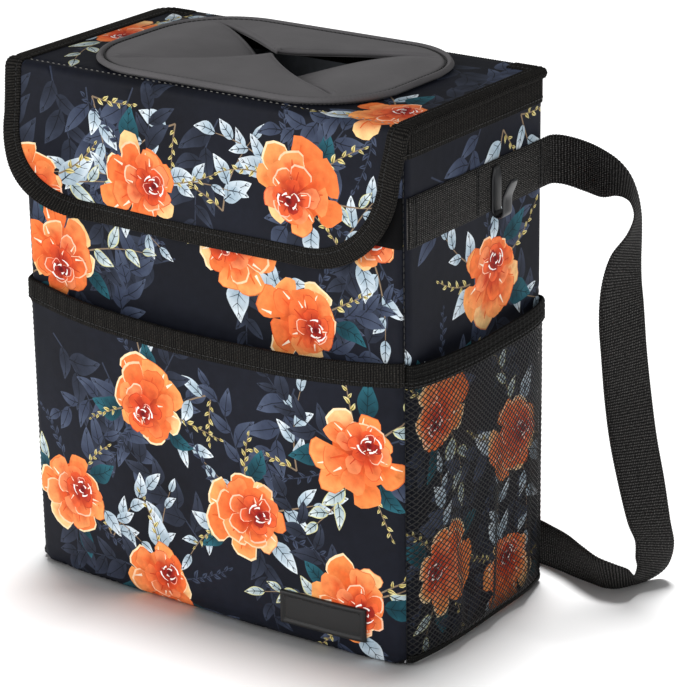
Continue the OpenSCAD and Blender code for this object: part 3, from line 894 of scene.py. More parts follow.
    def spray(self, x: float, y: float, angle: float, length: float, leaf: float, ink: LeafInk,
              twig: str, count: int = 7) -> None:
        """Draw a curved twig with leaves or buds along both sides."""
        rng = self.rng
        bow = rng.uniform(-0.35, 0.35)
        path = [ahead_of(x, y, angle, t * length, bow * length * t * t) for t in spread(0, 1, 7)]
        self.stroke(path, 0.95, 0.4, self.plain(twig))
        for i in range(count):
            k = 1 + i * 6 / max(count - 1, 1)
            low = int(min(k, 6.99))
            px = path[low][0] + (path[low + 1][0] - path[low][0]) * (k - low)
            py = path[low][1] + (path[low + 1][1] - path[low][1]) * (k - low)
            side = 1 if i % 2 else -1
            turn = angle + bow * 1.6 * k / 7 + side * rng.uniform(0.45, 0.95)
            if i == count - 1:
                turn = angle + bow * 1.8
            size = leaf * rng.uniform(0.75, 1.15) * (1 - 0.3 * k / 7)
            self.leaf(px, py, turn, size, size * rng.uniform(0.2, 0.28), ink,
                      rng.uniform(-0.1, 0.1), 0 if size < 10 else 2 if ink in FAINT else 3)

    def greens(self, x: float, y: float, size: float) -> None:
        """Draw the leaves, buds and shadow sprays round a bloom's place."""
        rng = self.rng
        start = rng.uniform(0, TAU)

        def about(turn: float, share: float) -> Point:
            return ahead_of(x, y, turn, share * size)

        for i in range(2):
            turn = start + 2.6 * i + rng.uniform(-0.4, 0.4)
            self.spray(*about(turn, 0.5), turn, rng.uniform(44, 58), 20,
                       SLATE_LEAF if i else SHADOW_LEAF, "333a4a", 7)
            self.spray(*about(turn + 0.9, 0.7), turn + 0.9, rng.uniform(28, 40), 5.5, SLATE_LEAF,
                       "333a4a", 11)
        for i in range(2):
            turn = start + 1.2 + 3.3 * i + rng.uniform(-0.4, 0.4)
            self.spray(*about(turn, 0.75), turn, rng.uniform(30, 40), 17,
                       rng.choice((PALE_LEAF, PALE_RIMMED)), "8a7660", 4)
        for i in range(3):
            turn = start + 0.4 + TAU * i / 3 + rng.uniform(-0.4, 0.4)
            length = rng.uniform(17, 24)
            self.leaf(*about(turn, 0.75), turn + rng.uniform(-0.5, 0.5), length,
                      length * rng.uniform(0.24, 0.32),
                      rng.choice((PALE_LEAF, TEAL_LEAF, TEAL_LEAF)), rng.uniform(-0.14, 0.14))
        for i in range(2):
            turn = start + 2.3 + 2.6 * i + rng.uniform(-0.4, 0.4)
            self.spray(*about(turn, 0.8), turn, rng.uniform(22, 30), 4.6, BUD_INK, "86745f", 8)


@dataclass(frozen=True)
class Layout:
    """Where a panel is cut from the cloth: the hand's seed and the places of the posies."""

    seed: int
    posies: tuple[tuple[float, float, float], ...]
    sprays: tuple[tuple[float, float, float], ...] = ()
    pale: tuple[tuple[float, float, float], ...] = ()

    def draw(self) -> list[Shape]:
        """Draw all motifs, shadow sprays first."""
        hand = Draughtsman(self.seed)
        for i, (x, y, angle) in enumerate(self.sprays):
            hand.spray(x, y, math.radians(angle), 62, 25, SLATE_LEAF if i % 3 else SHADOW_LEAF,
                       "363d4e", 8)
        for x, y, angle in self.pale:
            hand.spray(x, y, math.radians(angle), 42, 19, PALE_LEAF, "8a7660", 5)
            hand.spray(x, y, math.radians(angle + 60), 26, 4.6, BUD_INK, "86745f", 8)
        for x, y, size in self.posies:
            hand.greens(x, y, size)
        for x, y, size in self.posies:
            hand.bloom(x, y, size)
        return hand.shapes


@dataclass
class PrintedPanel:
    """A panel cut from the printed cloth, meshed along the edges of its shapes."""

    outline: list[Point]
    layout: Layout
    hole: list[Point] | None = None
    pitch: float = 4.5
    columns: tuple[float, ...] = ()
    rows: tuple[float, ...] = ()

    @staticmethod
    def grid(points: Sequence[Point], pitch: float) -> tuple[list[float], list[float]]:
        """Space columns and rows evenly within the box of some points."""
        low_x, high_x, low_y, high_y = extent(points)
        return (spread(low_x, high_x, max(int((high_x - low_x) / pitch), 1))[1:-1],
                spread(low_y, high_y, max(int((high_y - low_y) / pitch), 1))[1:-1])

    def cut(self) -> tuple[list[Point], list[tuple[int, int, int]], list[int], list[Shape]]:
        """Mesh the panel in its own plane.

        Returns:
            Places, triangles, the topmost shape of each triangle (0 is the ground) and the shapes.
        """
        low_x, high_x, low_y, high_y = extent(self.outline)
        shapes, boxes = [], []
        for shape in self.layout.draw():
            a, b, c, d = box = extent(shape.outline)
            if b > low_x and a < high_x and d > low_y and c < high_y:
                shapes.append(shape)
                boxes.append(box)
        rings = [oriented(self.outline), *(s.outline for s in shapes)]
        if self.hole:
            rings.append(oriented(self.hole))
        across, up = self.grid(self.outline, self.pitch)
        loose = [(x + 0.31 * (j % 2) * self.pitch, y) for x in across for j, y in enumerate(up, 1)]
        loose += [(x, y) for x in self.columns for y in up]
        loose += [(x, y) for y in self.rows for x in across]
        places, cells, _, owners = mesh_plane(rings, loose)
        last = len(rings) - 1
        kept, tops = [], []
        for cell, owner in zip(cells, owners):
            if 0 not in owner or (self.hole and last in owner):
                continue
            x, y = (sum(places[i][axis] for i in cell) / len(cell) for axis in (0, 1))
            top = max(o for o in owner if o == 0 or boxes[o - 1][0] <= x <= boxes[o - 1][1]
                      and boxes[o - 1][2] <= y <= boxes[o - 1][3])
            for i in range(1, len(cell) - 1):
                kept.append((cell[0], cell[i], cell[i + 1]))
                tops.append(top)
        return [tuple(p) for p in places], kept, tops, shapes

    def make(self, name: str, place: Place, thick: float, inner: Finish,
             face: Finish = PRINT) -> bpy.types.Object:
        """Make the panel's mesh: the printed face in full detail, the back in a coarse one.

        Args:
            name: The piece's name.
            place: Gives the place in metres of a cloth point and a height over it, in metres.
            thick: The cloth's thickness, laid behind the printed face.
            inner: The finish of the back.
            face: The finish of the front.

        Returns:
            The panel, closed, with its print as a colour attribute.
        """
        points, cells, tops, shapes = self.cut()
        used, faces = compact(cells)
        flat = [points[i] for i in used]
        loops = free_loops(faces)
        back_flat, back_cells, back_of = self.back(flat, loops)
        verts = [place(x * MM, y * MM, 0.0) for x, y in flat]
        verts += [place(x * MM, y * MM, -thick) for x, y in back_flat]
        base, printed = len(flat), len(faces)
        faces += [tuple(base + i for i in reversed(cell)) for cell in back_cells]
        for loop in loops:
            for a, b in zip(loop, [*loop[1:], loop[0]]):
                faces.append((b, a, base + back_of[a], base + back_of[b]))
        flat = [*flat, *back_flat]
        made = new_object(name, verts, faces, face)
        mesh = made.data
        ink = mesh.color_attributes.new("print", "FLOAT_COLOR", "CORNER")
        run = mesh.uv_layers.new(name="run")
        ground = tuple(linear(c) for c in GROUND_INK)
        tints: list[float] = []
        spots: list[float] = []
        for polygon in mesh.polygons:
            front = polygon.index < printed
            polygon.material_index = 0 if front else 1
            top = tops[polygon.index] if front else 0
            for i in polygon.vertices:
                x, y = flat[i]
                if top:
                    tint = shapes[top - 1].wash.at(x, y)
                else:
                    tint = mix(*ground, 0.5 + 0.9 * noise.noise(Vector((x / 55, y / 55, 3.0))))
                tints += [*tint, 1.0]
                spots += [x * MM, y * MM]
        ink.data.foreach_set("color", tints)
        run.data.foreach_set("uv", spots)
        mesh.materials.append(inner.material())
        mesh.shade_smooth()
        return made

    def back(self, flat: Sequence[Point], loops: Sequence[Sequence[int]]
             ) -> tuple[list[Point], list[Sequence[int]], dict[int, int]]:
        """Mesh the back coarsely within the borders of the printed face.

        Args:
            flat: Points of the printed face.
            loops: Its borders.

        Returns:
            Points and faces of the back, and the back's point for each border point.
        """
        order: list[int] = []
        rings, holes = [], set()
        for number, loop in enumerate(loops):
            ring = tuple(flat[i] for i in loop)
            if oriented(ring) != ring:
                holes.add(number)
                loop = loop[::-1]
            order += loop
            rings.append(oriented(ring))
        across, up = self.grid([flat[i] for i in order], 3 * self.pitch)
        places, cells, origins, owners = mesh_plane(
            rings, [(x, y) for x in (*across, *self.columns) for y in (*up, *self.rows)])
        kept = [cell for cell, owner in zip(cells, owners)
                if set(owner) - holes and not set(owner) & holes]
        back_of = {order[o]: i for i, ones in enumerate(origins) for o in ones if o < len(order)}
        return [tuple(p) for p in places], kept, back_of


def free_loops(faces: Sequence[Sequence[int]]) -> list[list[int]]:
    """Follow a flat mesh's free edges round, each loop the way its faces run."""
    edges: set[tuple[int, int]] = set()
    for face in faces:
        for a, b in zip(face, (*face[1:], face[0])):
            if (b, a) in edges:
                edges.remove((b, a))
            else:
                edges.add((a, b))
    ahead = dict(edges)
    loops = []
    while ahead:
        loop = [next(iter(ahead))]
        while loop[-1] in ahead:
            loop.append(ahead.pop(loop[-1]))
        loops.append(loop[:-1])
    return loops


@dataclass
class Tape:
    """A tape laid along stations: each a closed ring of places round its section."""

    name: str
    rings: list[list[Vector]]
    finish: Finish
    joined: bool = False
    share: list[float] | None = None

    def make(self, tools: Tools, pitch: float, height: float) -> bpy.types.Object:
        """Loft the tape and raise its ribs.

        Args:
            tools: The shared node trees.
            pitch: Rib spacing along the tape.
            height: Half of the height from groove to crown.

        Returns:
            The tape's object.
        """
        count, last = len(self.rings[0]), len(self.rings)
        runs = run_lengths([sum(ring, Vector()) / count for ring in self.rings], True)
        across = run_lengths(self.rings[0], True)
        faces, spots = [], []
        for i in range(last if self.joined else last - 1):
            for j in range(count):
                k, n = (j + 1) % count, (i + 1) % last
                faces.append((i * count + j, i * count + k, n * count + k, n * count + j))
                spots += [runs[i], across[j], runs[i], across[j + 1],
                          runs[i + 1], across[j + 1], runs[i + 1], across[j]]
        if not self.joined:
            for first in (0, (last - 1) * count):
                faces.append(tuple(range(first, first + count)))
                spots += [0.0] * (2 * count)
        made = new_object(self.name, [p for ring in self.rings for p in ring], faces, self.finish)
        made.data.uv_layers.new(name="run").data.foreach_set("uv", spots)
        close_outwards(made)
        for label, values in (("run_length", [runs[i] for i in range(last) for _ in range(count)]),
                              ("rib_share", (self.share or [1.0] * count) * last)):
            made.data.attributes.new(label, "FLOAT", "POINT").data.foreach_set("value", values)
        whole = runs[last] if self.joined else runs[last - 1]
        even = whole / max(round(whole / pitch), 1)
        return tools.ribs.run(made, Pitch=even, Height=height, Material=self.finish.material())


def run_lengths(points: Sequence[Vector], joined: bool = False) -> list[float]:
    """Add up the way along points, and back to the first if they are joined."""
    runs = [0.0]
    for a, b in zip(points, [*points[1:], points[0]] if joined else points[1:]):
        runs.append(runs[-1] + (b - a).length)
    return runs


def even_steps(runs: Sequence[float], count: int, places: int) -> list[tuple[int, float]]:
    """Find places at equal steps along a way.

    Args:
        runs: The way's length up to each of its points.
        count: Steps that the whole way is divided into.
        places: How many places are wanted from its start.

    Returns:
        The point before each place, and the place's share of the leg after that point.
    """
    found, k = [], 0
    for i in range(places):
        want = runs[-1] * i / count
        while k < len(runs) - 2 and runs[k + 1] < want:
            k += 1
        found.append((k, min((want - runs[k]) / ((runs[k + 1] - runs[k]) or 1.0), 1.0)))
    return found


def resample(path: Sequence[Vector], step: float, joined: bool = False) -> list[Vector]:
    """Space points evenly along a path.

    Args:
        path: Places along it.
        step: Distance wanted between points.
        joined: True if the path closes on itself.

    Returns:
        Evenly spaced points; a joined path doesn't repeat its first.
    """
    line = [*path, path[0]] if joined else list(path)
    runs = run_lengths(line)
    count = max(int(round(runs[-1] / step)), 2)
    return [line[k].lerp(line[k + 1], share)
            for k, share in even_steps(runs, count, count if joined else count + 1)]


def spline(points: Sequence[Vector], steps: int) -> list[Vector]:
    """Draw a smooth curve through points, with this many steps between each two."""
    ends = [points[0] * 2 - points[1], *points, points[-1] * 2 - points[-2]]
    curve = []
    for a, b, c, d in zip(ends, ends[1:], ends[2:], ends[3:]):
        for i in range(steps):
            t = i / steps
            curve.append(0.5 * (2 * b + (c - a) * t + (2 * a - 5 * b + 4 * c - d) * t * t
                                + (3 * b - a - 3 * c + d) * t ** 3))
    return [*curve, points[-1]]


def filled_out(ring: Sequence[Point], step: float) -> list[Point]:
    """Add points along a closed outline so that no side is longer than a step."""
    dense: list[Point] = []
    for a, b in zip(ring, [*ring[1:], ring[0]]):
        count = max(int(math.hypot(b[0] - a[0], b[1] - a[1]) / step), 1)
        dense += [(a[0] + (b[0] - a[0]) * i / count, a[1] + (b[1] - a[1]) * i / count)
                  for i in range(count)]
    return dense


def strip_ring(outer: Sequence[Vector], inner: Sequence[Vector]) -> list[Vector]:
    """Close a section: out along one face and back along the other."""
    return [*outer, *reversed(inner)]


def rounded_ring(half_x: float, half_y: float, radius: float, inset: float, step: float,
                 facets: int = 16) -> list[Point]:
    """Walk a rectangle with round corners, moved in by an inset, about its middle."""
    r = radius - inset
    line = []
    for sx, sy, start in ((1, -1, -90), (1, 1, 0), (-1, 1, 90), (-1, -1, 180)):
        for degrees in spread(start, start + 90, facets):
            a = math.radians(degrees)
            line.append(Vector((sx * (half_x - radius) + r * math.cos(a),
                                sy * (half_y - radius) + r * math.sin(a), 0)))
    return [(p.x, p.y) for p in resample(line, step, joined=True)]


FRONT_LAYOUT = Layout(
    11, ((-62, 232, 24), (18, 205, 25), (96, 226, 23), (-96, 178, 25), (60, 172, 24)),
    ((-20, 190, 200), (30, 150, 20), (-60, 140, 80), (100, 160, 100), (-100, 230, 290),
     (0, 60, 40)))
SIDE_LAYOUT = Layout(
    23, ((14, 186, 25), (-34, 128, 23), (36, 92, 24), (-30, 42, 25), (30, 20, 23)),
    ((-40, 250, 330), (6, 268, 240), (-10, 150, 60), (46, 150, 110), (0, 74, 200)),
    ((24, 258, 250), (40, 262, 290)))
LEFT_LAYOUT = Layout(
    29, ((-20, 196, 25), (30, 112, 25), (-26, 52, 24)),
    ((30, 250, 250), (-30, 130, 80), (40, 30, 150)))
BACK_LAYOUT = Layout(
    37, ((-80, 232, 25), (60, 220, 25), (-30, 150, 25), (90, 130, 24), (-84, 66, 25), (30, 52, 25)),
    ((-20, 130, 20), (90, 130, 80), (-90, 200, 300), (30, 60, 120), (-60, 60, 200)))
POCKET_LAYOUT = Layout(
    57, ((-90, 48, 25), (-34, 112, 24), (30, 66, 25), (96, 112, 24), (92, 30, 22), (-28, 14, 23)),
    ((-100, 136, 320), (-64, 128, 300), (60, 140, 250), (0, 40, 130), (-60, 86, 30)),
    ((-62, 30, 60), (60, 96, 100), (8, 126, 200)))
LID_LAYOUT = Layout(
    71, ((-34, 26, 24), (62, 38, 25), (-98, 16, 20), (104, 96, 23), (-6, 190, 24), (-104, 150, 22)),
    ((-96, 78, 300), (-70, 70, 280), (-40, 74, 250), (14, 66, 240), (90, 70, 230), (-100, 200, 10),
     (60, 190, 340), (110, 160, 100)),
    ((-66, 66, 290), (16, 20, 80), (-12, 60, 200), (86, 12, 60)))
BLANK = Layout(0, ())


@dataclass(frozen=True)
class Wall:
    """One upright wall, bent round half of the corner at each end, with its own soft ripple."""

    sizes: Sizes
    turn: int
    groove: float = 0.9 * MM
    ripple: float = 0.55 * MM
    foot_round: float = 3 * MM

    @property
    def half(self) -> float:
        """Half of the wall's width."""
        return self.sizes.half_d if self.turn % 2 else self.sizes.half_w

    @property
    def flat(self) -> float:
        """Run from the middle to where the corner starts."""
        return self.half - self.sizes.corner

    @property
    def reach(self) -> float:
        """Run from the middle to the seam at the corner's middle."""
        return self.flat + self.sizes.corner * math.pi / 4

    def place(self, run: float, high: float, lift: float = 0.0) -> Vector:
        """Return the place at a run from the middle, a height and a lift over the cloth."""
        s = self.sizes
        away = s.half_w if self.turn % 2 else s.half_d
        edge = self.reach - abs(run)
        fade = smooth(0, 14 * MM, edge) * smooth(0, 12 * MM, s.wall_top - high)
        wave = noise.noise(Vector((run / 0.045, high / 0.06, float(self.turn))))
        wave *= self.ripple * fade
        push = wave + lift - self.groove * (1 - smooth(0.1 * MM, 1.9 * MM, edge))
        bend = max(abs(run) - self.flat, 0.0) / s.corner
        radius = s.corner + push
        low = max(self.foot_round - high, 0.0)
        pull = self.foot_round - math.sqrt(max(self.foot_round ** 2 - low ** 2, 0.0))
        pull *= 1 - smooth(5 * MM, 30 * MM, edge)
        side = min(abs(run), self.flat) + radius * math.sin(bend) - pull
        out = away - s.corner + radius * math.cos(bend) - pull
        return Matrix.Rotation(self.turn * math.pi / 2, 3, "Z") @ Vector(
            (math.copysign(side, run), -out, high))


@dataclass
class BodyShell:
    """The stiffened fabric box: printed walls, rim tape, loop tape and what lines them."""

    sizes: Sizes
    tools: Tools
    wall_t: float = 3.8 * MM
    rim_inner: float = 10 * MM

    def walls(self) -> None:
        """Cut the four walls from the printed cloth."""
        s = self.sizes
        for name, node, turn, layout in (("front_wall_cloth", "front_panel", 0, FRONT_LAYOUT),
                                         ("right_wall_cloth", "right_panel", 1, SIDE_LAYOUT),
                                         ("back_wall_cloth", "back_panel", 2, BACK_LAYOUT),
                                         ("left_wall_cloth", "left_panel", 3, LEFT_LAYOUT)):
            wall = Wall(s, turn)
            reach, flat = wall.reach / MM, wall.flat / MM
            low, high = s.base / MM, s.wall_top / MM
            ring = filled_out([(-reach, low), (reach, low), (reach, high), (-reach, high)], 4.0)
            bends = tuple(side * (flat + step) for side in (1, -1)
                          for step in (0.0, 1.2, 2.4, 3.3, 4.0))
            panel = PrintedPanel(ring, layout, columns=bends,
                                 rows=(low + 0.5, low + 1.5, low + 2.8))
            settle(panel.make(name, wall.place, 1.1 * MM, LINING), Body.BIN, "printed_fabric", node)

    def floor(self) -> None:
        """Lay the cloth of the base, out to the walls' lower edges."""
        s = self.sizes
        ring = []
        for turn in range(4):
            wall = Wall(s, turn)
            ring += [wall.place(run, s.base, -0.15 * MM)
                     for run in spread(-wall.reach, wall.reach, 40)[:-1]]
        count = len(ring)
        top = [p + Vector((0, 0, 1.0 * MM)) for p in ring]
        faces = [tuple(reversed(range(count))), tuple(range(count, 2 * count))]
        faces += [(i, (i + 1) % count, count + (i + 1) % count, count + i) for i in range(count)]
        made = new_object("base_cloth", [*ring, *top], faces, LINING)
        settle(made, Body.BIN, "printed_fabric", "base_panel")

    def outline(self, step: float) -> list[tuple[Vector, Vector]]:
        """Walk round the body's outline.

        Args:
            step: Distance between places.

        Returns:
            A place on the outline and the outward direction there, for each step.
        """
        s = self.sizes
        ring = [Vector((*p, 0))
                for p in rounded_ring(s.half_w, s.half_d, s.corner, 0.0, step, facets=12)]
        count = len(ring)
        walk = []
        for i, place in enumerate(ring):
            along = ring[(i + 1) % count] - ring[i - 1]
            walk.append((place, Vector((along.y, -along.x, 0)).normalized()))
        return walk

    def rim(self) -> None:
        """Fold the rim tape over the top edge of the walls."""
        s, pitch = self.sizes, GROSGRAIN.rib
        t, deep = s.tape, self.wall_t
        drop = s.rim_top - s.rim_low
        outer = [(t, -drop), (t, -0.7 * drop), (t, -0.35 * drop), (t, -0.8 * MM),
                 (0.6 * t, -0.15 * MM), (0.0, 0.0), (-deep, 0.0), (-deep - 0.6 * t, -0.15 * MM),
                 (-deep - t, -0.8 * MM), (-deep - t, -self.rim_inner)]
        inner = [(0.0, -drop), (0.0, -t), (-deep, -t), (-deep, -self.rim_inner)]
        rings = []
        for place, out in self.outline(pitch / 4):
            top = place + Vector((0, 0, s.rim_top))
            sway = noise.noise(place * 28) * 0.5 * MM
            rings.append(strip_ring(
                [top + out * (d + sway * (d > 0)) + Vector((0, 0, z + sway * (z == -drop)))
                 for d, z in outer],
                [top + out * d + Vector((0, 0, z)) for d, z in inner]))
        share = [1.0] * len(outer) + [0.0] * len(inner)
        self.tools.lay(Tape("rim_tape", rings, GROSGRAIN, True, share), Body.BIN, "black_tape",
                       "rim_band", pitch, 0.14 * MM)
        row = [place + out * (t + 0.15 * MM) + Vector((0, 0, s.rim_low + 2.2 * MM))
               for place, out in self.outline(2 * MM)]
        self.tools.sew("rim_stitches", [[*row, row[0]]], Body.BIN, "black_tape")

    def corner_seams(self) -> None:
        """Run a cord of thread down each upright seam."""
        s = self.sizes
        rows = []
        for turn in range(4):
            wall = Wall(s, turn)
            rows.append([wall.place(wall.reach, z, 0.4 * MM)
                         for z in spread(s.base, s.rim_low, 90)])
        self.tools.sew("corner_seam_thread", rows, Body.BIN, "printed_fabric", 3.4 * MM,
                       share=0.95, thread=0.7 * MM)

    def loop_tape(self) -> None:
        """Lay the pile tape that the flap closes on."""
        low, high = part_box("front_loop_tape")
        wall = Wall(self.sizes, 0)
        half, thick = wall.reach - 0.4 * MM, high[1] - low[1]
        levels = spread(low[2], high[2], 8)
        lifts = [0.4 * thick, *[thick] * 7, 0.4 * thick]
        rings = [strip_ring([wall.place(x, z, lift) for z, lift in zip(levels, lifts)],
                            [wall.place(x, z, 0.02 * MM) for z in levels])
                 for x in spread(-half, half, 139)]
        self.tools.lay(Tape("front_pile_tape", rings, LOOP_PILE), Body.BIN, "black_tape",
                       "front_loop_tape")

    def inside(self, nodes: dict[str, bpy.types.Object]) -> None:
        """Give the pieces that stay as solids their finish."""
        boards = [f"{side}_board" for side in ("base", "front", "back", "left", "right")]
        for name, finish in (("liner", FILM), *((board, BOARD) for board in boards)):
            node = nodes[name]
            if not node.material_slots:
                node.data.materials.append(None)
            for held in node.material_slots:
                held.material = finish.material()

    def build(self, nodes: dict[str, bpy.types.Object]) -> None:
        """Build and dress the box."""
        self.walls()
        self.floor()
        self.rim()
        self.corner_seams()
        self.loop_tape()
        self.inside(nodes)


@dataclass
class Lid:
    """The lid and its front flap: one printed sheet, bent over the front, lined and bound."""

    sizes: Sizes
    tools: Tools
    taper: float = 5 * MM
    round_off: float = 54 * MM
    back_round: float = 9 * MM
    flare: float = 0.34
    bow: float = 3 * MM
    seam: float = 3 * MM
    hinge_low: float = 8 * MM

    def __post_init__(self) -> None:
        """Work out the runs along the section."""
        s = self.sizes
        self.top_run = s.lid_back - (s.lid_front + s.fold)
        self.bend_run = s.fold * math.pi / 2
        self.drop_run = s.lid_top - s.fold - s.flap_low
        self.whole = self.top_run + self.bend_run + self.drop_run

    def bare(self, x: float, run: float) -> Vector:
        """Return the outer face at a distance across and a run from the back edge."""
        s = self.sizes
        if run <= self.top_run:
            gap = abs(run - self.top_run + self.seam)
            dip = 0.5 * MM * (1 - smooth(0.4 * MM, 2.2 * MM, gap))
            return Vector((x, s.lid_back - run, s.lid_top - dip))
        y_mid, z_mid = s.lid_front + s.fold, s.lid_top - s.fold
        if run <= self.top_run + self.bend_run:
            turn = (run - self.top_run) / s.fold
            return Vector((x, y_mid - s.fold * math.sin(turn), z_mid + s.fold * math.cos(turn)))
        drop = run - self.top_run - self.bend_run
        lift = self.flare * drop * smooth(0.062, 0.112, -x)
        hang = math.sin(math.pi * min(drop / self.drop_run, 1.0))
        lift += self.bow * hang * (1 - (x / s.lid_half) ** 2)
        lift += 0.9 * MM * noise.noise(Vector((x / 0.05, drop / 0.05, 9.0))) * smooth(0, 0.02, drop)
        rise = lift * lift / (2 * max(drop, 1 * MM))
        return Vector((x, s.lid_front - lift, z_mid - drop + rise))

    def place(self, x: float, run: float, lift: float = 0.0) -> Vector:
        """Return a place at a height over the outer face."""
        here, step = self.bare(x, run), 0.5 * MM
        if not lift:
            return here
        across = self.bare(x + step, run) - self.bare(x - step, run)
        down = self.bare(x, run + step) - self.bare(x, run - step)
        return here + down.cross(across).normalized() * lift

    def edge(self, step: float) -> list[Point]:
        """Walk the lid's free edge from the right back corner to the left one.

        Args:
            step: Distance between places.

        Returns:
            Distance across and run of each place.
        """
        s, r = self.sizes, self.round_off
        narrow = s.lid_half - self.taper
        start = self.top_run + self.bend_run * 0.4
        side = [(s.lid_half - self.taper * smooth(start, start + 30 * MM, run), run)
                for run in spread(0, self.whole - r, 60)]
        arc = [(narrow - r + r * math.cos(a), self.whole - r + r * math.sin(a))
               for a in spread(0, math.pi / 2, 24)[1:]]
        q = self.back_round
        back = [(s.lid_half - q - 12 * MM, 0.0),
                *((s.lid_half - q + q * math.sin(a), q - q * math.cos(a))
                  for a in spread(0, math.pi / 2, 12)[:-1])]
        right = [*back, *(p for p in side if p[1] >= q), *arc,
                 (0.35 * (narrow - r), self.whole + 0.6 * MM)]
        whole = [Vector((*p, 0)) for p in [*right, *((-x, run) for x, run in reversed(right))]]
        return [(p.x, p.y) for p in resample(whole, step)]

    def hole(self, step: float) -> list[Point]:
        """Return the outline of the hole under the insert, across and run."""
        low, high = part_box("slit_insert")
        ring = rounded_ring((high[0] - low[0]) / 2, (high[1] - low[1]) / 2, 45 * MM,
                            self.sizes.insert_lap, step)
        mid_x, mid_y = (low[0] + high[0]) / 2, (low[1] + high[1]) / 2
        return [(x + mid_x, self.sizes.lid_back - (y + mid_y)) for x, y in ring]

    def sheet(self, name: str, layout: Layout, face: Finish, back: Finish, lift: float,
              thick: float) -> bpy.types.Object:
        """Cut one layer of the lid, with the hole that the insert covers."""
        whole = self.whole
        ring = filled_out([(x / MM, (whole - run) / MM) for x, run in self.edge(3 * MM)], 4.0)
        hole = [(x / MM, (whole - run) / MM) for x, run in self.hole(4 * MM)]
        bend = tuple((whole - self.top_run - self.bend_run * k / 6) / MM for k in range(-1, 8))
        seam = tuple((whole - self.top_run + self.seam + k * MM) / MM
                     for k in (-2.2, -0.9, 0.0, 0.9, 2.2))
        panel = PrintedPanel(ring, layout, hole, rows=(*bend, *seam))
        return panel.make(name, lambda u, v, up: self.place(u, whole - v, lift + up), thick,
                          back, face)

    def binding(self) -> None:
        """Fold the binding tape round the lid's free edge and sew it down."""
        s, pitch = self.sizes, GROSGRAIN.rib
        t, deep, w = s.tape, s.print_t + s.lining_t, s.binding
        outer = [(w, 0.35 * t), (w - 0.4 * MM, t), (0.78 * w, t), (0.72 * w, 0.55 * t),
                 (0.66 * w, t), (0.4 * w, t), (0.08 * w, t), (-0.3 * MM, 0.7 * t),
                 (-0.8 * MM, -deep / 2), (-0.3 * MM, -deep - 0.7 * t), (0.1 * w, -deep - t),
                 (0.9 * w, -deep - t), (w, -deep - 0.5 * t)]
        inner = [(w, 0.02 * MM), (0.02 * MM, -0.02 * MM), (0.02 * MM, -deep),
                 (w, -deep - 0.02 * MM)]
        walk = self.edge(pitch / 4)
        rings, rows = [], ([], [])
        for i, (x, run) in enumerate(walk):
            ahead, behind = beside(walk, i)
            along = Vector((ahead[0] - behind[0], ahead[1] - behind[1])).normalized()
            into = Vector((-along.y, along.x))

            def at(wide: float, lift: float) -> Vector:
                return self.place(x + into.x * wide, max(run + into.y * wide, 0.0), lift)

            rings.append(strip_ring([at(*p) for p in outer], [at(*p) for p in inner]))
            if i % 5 == 0:
                rows[0].append(at(0.72 * w, 0.8 * t))
                rows[1].append(at(0.72 * w, -deep - t - 0.1 * MM))
        share = [0.3, 0.8, 1, 0.3, *[1.0] * 8, 0.5] + [0.0] * len(inner)
        self.tools.lay(Tape("lid_edge_binding", rings, GROSGRAIN, False, share), Body.LID,
                       "black_tape", "lid_binding", pitch, 0.15 * MM)
        self.tools.sew("lid_binding_stitches", rows, Body.LID, "black_tape")

    def fold_stitches(self) -> None:
        """Sew the row that marks the fold between lid and flap."""
        half = self.sizes.lid_half - self.sizes.binding - 1 * MM
        row = [self.place(x, self.top_run - self.seam, 0.1 * MM) for x in spread(-half, half, 90)]
        # The fold row is sewn in the painted-highlight thread: light grey standing in for glints on
        # black thread.
        self.tools.sew("fold_stitches", [row], Body.LID, "printed_fabric", 3.6 * MM, PAINTED_GLINT_THREAD,
                       0.5 * MM, 0.5)

    def hook_tape(self) -> None:
        """Lay the hook tape inside the flap."""
        low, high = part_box("flap_hook_tape")
        s = self.sizes
        deep = s.print_t + s.lining_t
        foot = self.top_run + self.bend_run + s.lid_top - s.fold
        runs = [foot - z for z in spread(low[2], high[2], 6)]
        rings = [strip_ring([self.place(x, run, -deep - 0.02 * MM) for run in runs],
                            [self.place(x, run, -deep - (high[1] - low[1])) for run in runs])
                 for x in spread(low[0], high[0], 99)]
        self.tools.lay(Tape("flap_hook_pile", rings, LOOP_PILE), Body.LID, "black_tape",
                       "flap_hook_tape")

    def hinge_strip(self) -> None:
        """Join the lid's back edge to the rim with a strip."""
        s, pitch = self.sizes, GROSGRAIN.rib
        half = s.half_w - s.corner
        y = s.lid_back + 0.15 * MM
        levels = spread(s.rim_top - self.hinge_low, s.lid_top, 9)
        rings = [strip_ring([Vector((x, y + s.tape * 0.7, z)) for z in levels],
                            [Vector((x, y, z)) for z in levels[::3]])
                 for x in spaced(-half, half, pitch / 4)]
        tape = Tape("lid_hinge_strip", rings, GROSGRAIN, False, [1.0] * 10 + [0.0] * 4)
        made = tape.make(self.tools, pitch, 0.12 * MM)
        made.data.calc_loop_triangles()
        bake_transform(made)
        LOG.info("lid_hinge_strip: %d triangles", len(made.data.loop_triangles))

    def build(self) -> None:
        """Build and dress the lid."""
        s = self.sizes
        top = self.sheet("lid_print_cloth", LID_LAYOUT, PRINT, LINING, 0.0, s.print_t)
        settle(top, Body.LID, "printed_fabric", "lid_panel")
        lining = self.sheet("lid_lining_cloth", BLANK, LINING, LINING, -s.print_t, s.lining_t)
        settle(lining, Body.LID, "lining_cloth", "lid_lining")
        self.binding()
        self.fold_stitches()
        self.hook_tape()
        self.hinge_strip()


